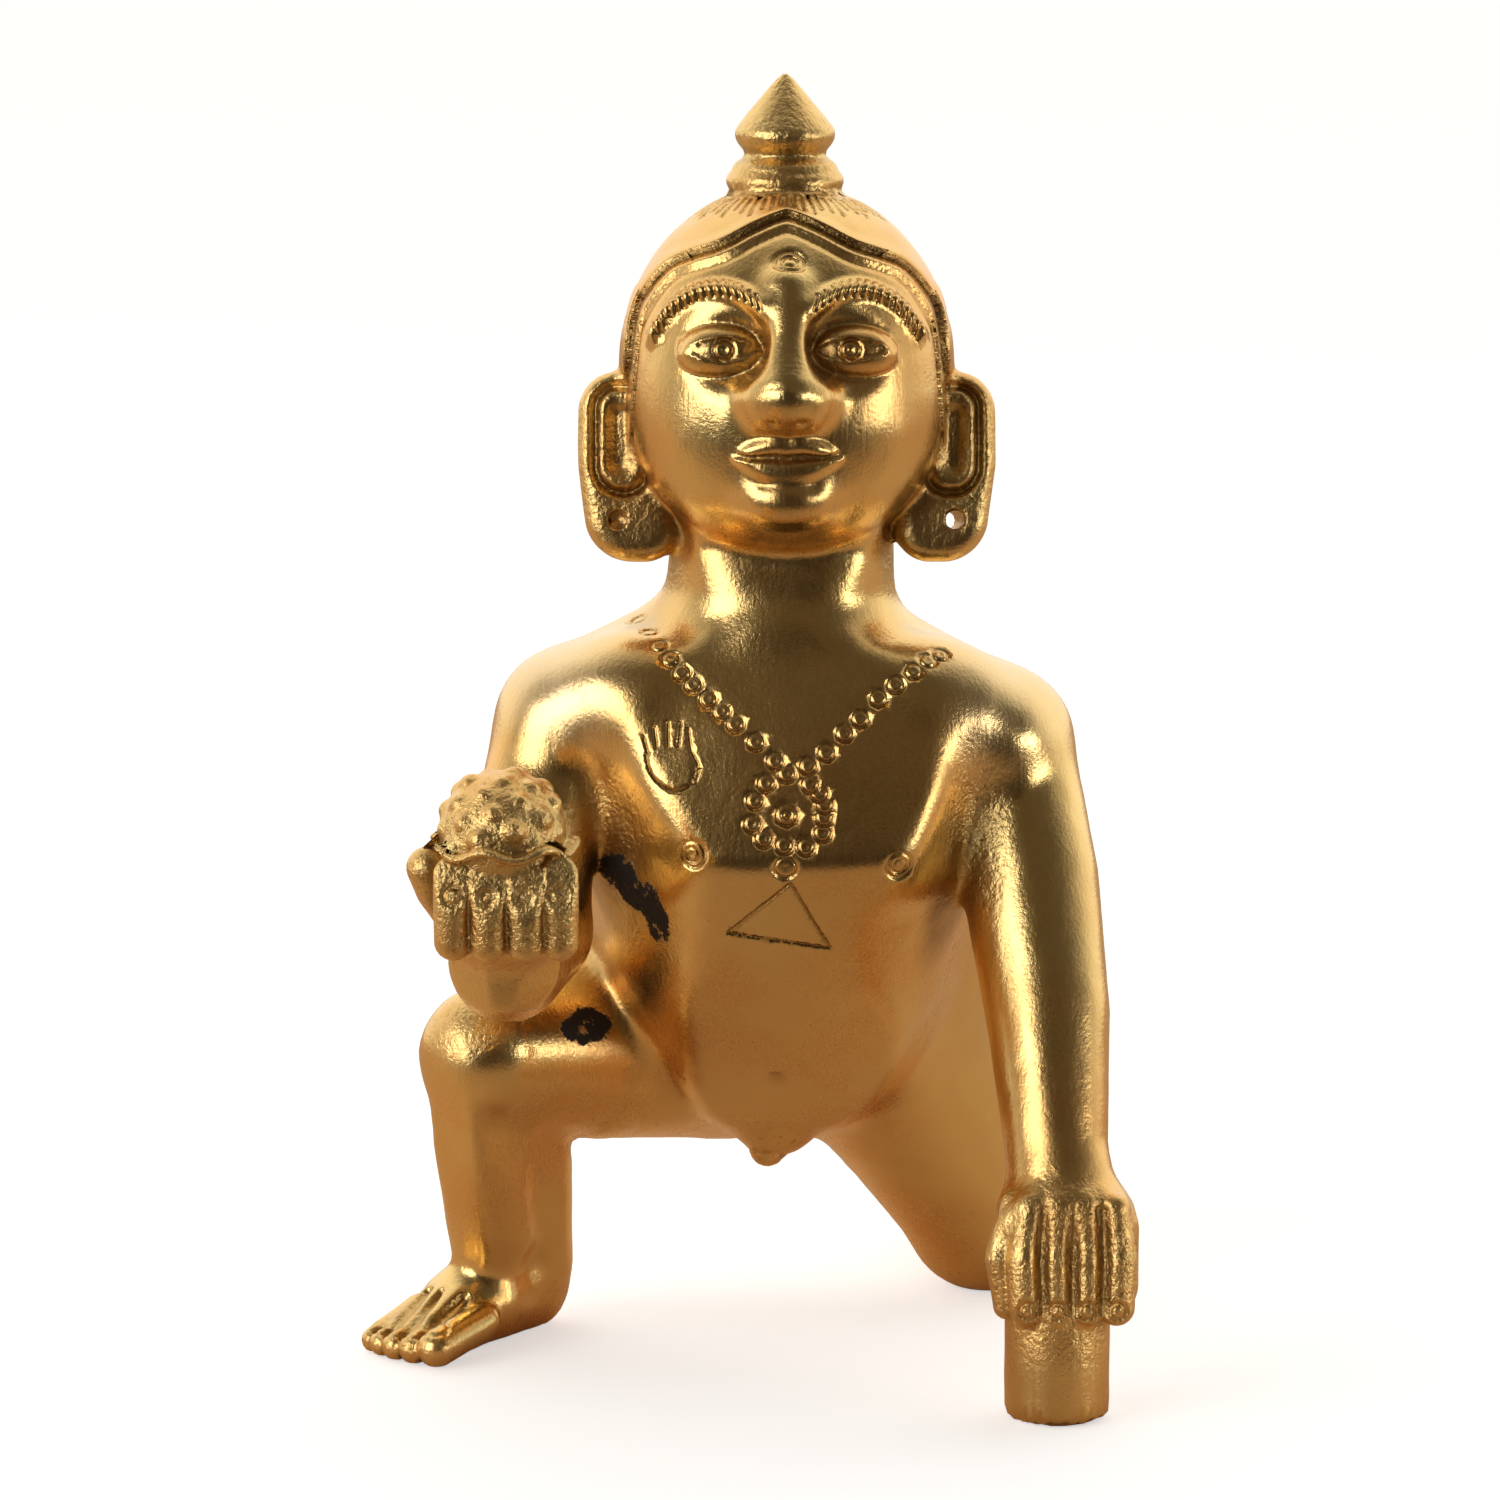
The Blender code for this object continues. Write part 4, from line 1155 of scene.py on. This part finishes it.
def make_brass():
    """Polished brass with a rough cast skin in its hollows, tarnish in its cuts, oxide stains and a painted
    highlight on the shoulders.
    """
    material = bpy.data.materials.new("cast_brass")
    material.use_nodes = True
    nodes = Nodes(material.node_tree)
    shader = material.node_tree.nodes["Principled BSDF"]
    place = nodes.add("ShaderNodeTexCoord").outputs["Object"]
    mask = {}
    for name in ("cast_skin", "hollow", "cut", "stain", "painted_highlight"):
        mask[name] = nodes.add("ShaderNodeAttribute", attribute_name=name).outputs["Fac"]
    cloudy = nodes.noise(place, CLOUD_SCALE, 3)
    patchy = nodes.noise(place, PATCH_SCALE, 5, 0.65)
    spiky = nodes.noise(place, BLOT_SCALE, 6, 0.75)
    lumpy = nodes.noise(place, LUMP_SCALE, 3, 0.6)
    grain = nodes.noise(place, GRAIN_SCALE, 2, 0.6)
    file_marks = nodes.noise(nodes.stretched(place, *FILE_MARKS), 1.0, 2)
    cross_marks = nodes.noise(nodes.stretched(place, *CROSS_MARKS), 1.0, 2)
    deep = nodes.span(mask["hollow"], 0.30, 0.85)
    skin = nodes.math("MULTIPLY", mask["cast_skin"], nodes.span(patchy, 0.30, 0.52, 0.35, 1.0))
    skin = nodes.math("MAXIMUM", skin, nodes.math("MULTIPLY", deep, 0.7), True)
    pits = nodes.math("MULTIPLY", nodes.span(lumpy, 0.40, 0.30), skin)
    colour = nodes.blend(nodes.span(cloudy, 0.36, 0.70), GOLD, COPPERY)
    # Painted highlight: on the shoulders the colour is mixed towards a pale gold.
    painted_highlight_share = nodes.math("MULTIPLY", mask["painted_highlight"], nodes.span(cloudy, 0.30, 0.60, 0.2, 0.9))
    colour = nodes.blend(painted_highlight_share, colour, PAINTED_HIGHLIGHT_GOLD)
    dirt = nodes.math("MAXIMUM", nodes.math("MULTIPLY", deep, 0.7), mask["cut"])
    dirt = nodes.math("MULTIPLY", dirt, nodes.span(patchy, 0.25, 0.6, 0.5, 1.0))
    dirt = nodes.math("MAXIMUM", dirt, pits, True)
    colour = nodes.blend(nodes.math("MULTIPLY", dirt, 0.8), colour, TARNISH)
    ragged = nodes.math("MULTIPLY", spiky, 1.8)
    ragged = nodes.math("ADD", ragged, nodes.math("MULTIPLY", mask["stain"], 0.80))
    inside = nodes.span(mask["stain"], 0.0, 0.15)
    blot = nodes.math("MULTIPLY", nodes.span(ragged, 1.42, 1.54), inside, True)
    nodes.link(nodes.blend(blot, colour, OXIDE), shader.inputs["Base Color"])
    rough = nodes.span(cloudy, 0.3, 0.7, 0.23, 0.30)
    streaky = nodes.math("MULTIPLY", nodes.math("SUBTRACT", file_marks, 0.5), 0.10)
    rough = nodes.math("ADD", rough, streaky)
    rough = nodes.math("ADD", rough, nodes.math("MULTIPLY", skin, 0.10))
    rough = nodes.math("ADD", rough, nodes.math("MULTIPLY", blot, 0.35), True)
    nodes.link(rough, shader.inputs["Roughness"])
    nodes.link(nodes.span(blot, 0.0, 1.0, 1.0, 0.2), shader.inputs["Metallic"])
    cast = nodes.math("MULTIPLY", skin, CAST_HEIGHT)
    cast = nodes.math("MULTIPLY", nodes.math("SUBTRACT", lumpy, 0.5), cast)
    streaks = nodes.math("MULTIPLY", nodes.math("ADD", file_marks, cross_marks), STREAK_HEIGHT)
    fine = nodes.math("ADD", nodes.math("MULTIPLY", grain, GRAIN_HEIGHT), streaks)
    bump = nodes.add("ShaderNodeBump")
    bump.inputs["Strength"].default_value = 1.0
    bump.inputs["Distance"].default_value = PART
    nodes.link(nodes.math("ADD", cast, fine), bump.inputs["Height"])
    nodes.link(bump.outputs["Normal"], shader.inputs["Normal"])
    return material


# Floor, light and camera
FLOOR_SIZE = 6.0
FLOOR_LIFT = 0.56  # how much the floor is overexposed for the camera alone, as in the photograph
FLOOR_PALE = (0.85, 0.85, 0.85)
FLOOR_PAINTED_BOUNCE_SHADE = (0.75, 0.54, 0.37)  # the floor's colour in the brass near by: painted warm bounce light and shade from the figure
FLOOR_FAR = (0.055, 0.045, 0.035)  # and the dark room that it mirrors in front of the table
TABLE_EDGE = (-0.17, -0.02)  # where the table ends and where it is fully seen, along y


def make_stage():
    """A plain pale floor, whose colour in reflections is painted: warm bounce light and shade near the
    figure, dark further in front.
    """
    bpy.ops.object.select_all(action="DESELECT")
    bpy.ops.mesh.primitive_plane_add(size=FLOOR_SIZE, location=(0, 0, -0.1 * PART))
    floor = bpy.context.object
    floor.name = "floor"
    paper = bpy.data.materials.new("floor_paper")
    paper.use_nodes = True
    nodes = Nodes(paper.node_tree)
    shader = paper.node_tree.nodes["Principled BSDF"]
    shader.inputs["Roughness"].default_value = 0.9
    shader.inputs["Specular IOR Level"].default_value = 0.0
    shader.inputs["Emission Color"].default_value = (1, 1, 1, 1)
    seen = nodes.add("ShaderNodeLightPath").outputs["Is Camera Ray"]
    place = nodes.add("ShaderNodeSeparateXYZ")
    nodes.link(nodes.add("ShaderNodeTexCoord").outputs["Object"], place.inputs[0])
    # Painted reflection: in the brass the floor shows warm bounce light and shade near the figure and a
    # dark room beyond the table's edge; the camera sees it pale.
    mirrored = nodes.blend(nodes.span(place.outputs["Y"], *TABLE_EDGE), FLOOR_FAR, FLOOR_PAINTED_BOUNCE_SHADE)
    nodes.link(nodes.blend(seen, mirrored, FLOOR_PALE), shader.inputs["Base Color"])
    nodes.link(nodes.math("MULTIPLY", seen, FLOOR_LIFT), shader.inputs["Emission Strength"])
    floor.data.materials.append(paper)


# Each softbox is its place, its width and height in metres, and how bright its cloth is
LEFT_SOFTBOX = ((-0.95, -0.72, 0.30), 1.0, 1.0, 2.8)
RIGHT_SOFTBOX = ((1.05, -0.42, 0.08), 0.6, 0.40, 3.5)
LIGHT_AIM = (0, 0, 0.055)


def softbox(name, place, width, height, brightness):
    """A rectangular light that looks at the figure."""
    light = bpy.data.lights.new(name, "AREA")
    light.shape = "RECTANGLE"
    light.size, light.size_y = width, height
    light.energy = brightness * math.pi * width * height
    lamp = bpy.data.objects.new(name, light)
    lamp.location = place
    lamp.rotation_euler = (Vector(LIGHT_AIM) - Vector(place)).to_track_quat("-Z", "Y").to_euler()
    bpy.context.scene.collection.objects.link(lamp)


ROOM = [
    # how far behind the figure, from -1 to 1, and how bright the room is there
    (-0.93, (0.030, 0.020, 0.011)),
    (-0.80, (0.090, 0.069, 0.043)),
    (-0.35, (0.090, 0.076, 0.060)),
    (0.60, (1.17, 1.13, 1.05)),
]


def make_light():
    """Soft light from both sides, and a pale room behind the figure that is dark behind the camera."""
    softbox("left_softbox", *LEFT_SOFTBOX)
    softbox("right_softbox", *RIGHT_SOFTBOX)
    world = bpy.data.worlds.new("studio")
    bpy.context.scene.world = world
    world.use_nodes = True
    nodes = Nodes(world.node_tree)
    background = world.node_tree.nodes["Background"]
    split = nodes.add("ShaderNodeSeparateXYZ")
    nodes.link(nodes.add("ShaderNodeTexCoord").outputs["Generated"], split.inputs[0])
    room = nodes.add("ShaderNodeValToRGB")
    room.color_ramp.interpolation = "EASE"
    for _ in ROOM[2:]:
        room.color_ramp.elements.new(0.5)
    for stop, (behind, light) in zip(room.color_ramp.elements, ROOM):
        stop.position = (behind + 1) / 2
        stop.color = (*light, 1)
    nodes.link(nodes.span(split.outputs["Y"], -1.0, 1.0), room.inputs["Fac"])
    nodes.link(room.outputs["Color"], background.inputs["Color"])


CAMERA_HEIGHT_ANGLE = 9.0
CAMERA_DISTANCE = 600.0
CAMERA_AIM = (0.0, -5.0, 56.0)
PIXELS_PER_PART = 11.2
PHOTO_PIXELS = 1500


def make_camera():
    """The camera at the photograph's angle, level with the chest and a little above it."""
    data = bpy.data.cameras.new("camera")
    data.sensor_width = 36
    data.lens = PIXELS_PER_PART * CAMERA_DISTANCE / PHOTO_PIXELS * data.sensor_width
    data.clip_start = 0.01
    camera = bpy.data.objects.new("camera", data)
    lift = math.radians(CAMERA_HEIGHT_ANGLE)
    forward = Vector((0, math.cos(lift), -math.sin(lift)))
    aim = (Vector(CAMERA_AIM) - Vector(BASE_CENTRE)) * PART
    camera.location = aim - forward * CAMERA_DISTANCE * PART
    camera.rotation_euler = forward.to_track_quat("-Z", "Y").to_euler()
    bpy.context.scene.collection.objects.link(camera)
    bpy.context.scene.camera = camera


# The figure on its stage
figure = make_figure()
figure.data.materials.clear()
figure.data.materials.append(make_brass())
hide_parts("figure")
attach(figure, "root")
make_stage()
make_light()
make_camera()
bpy.context.scene.view_settings.view_transform = "Standard"
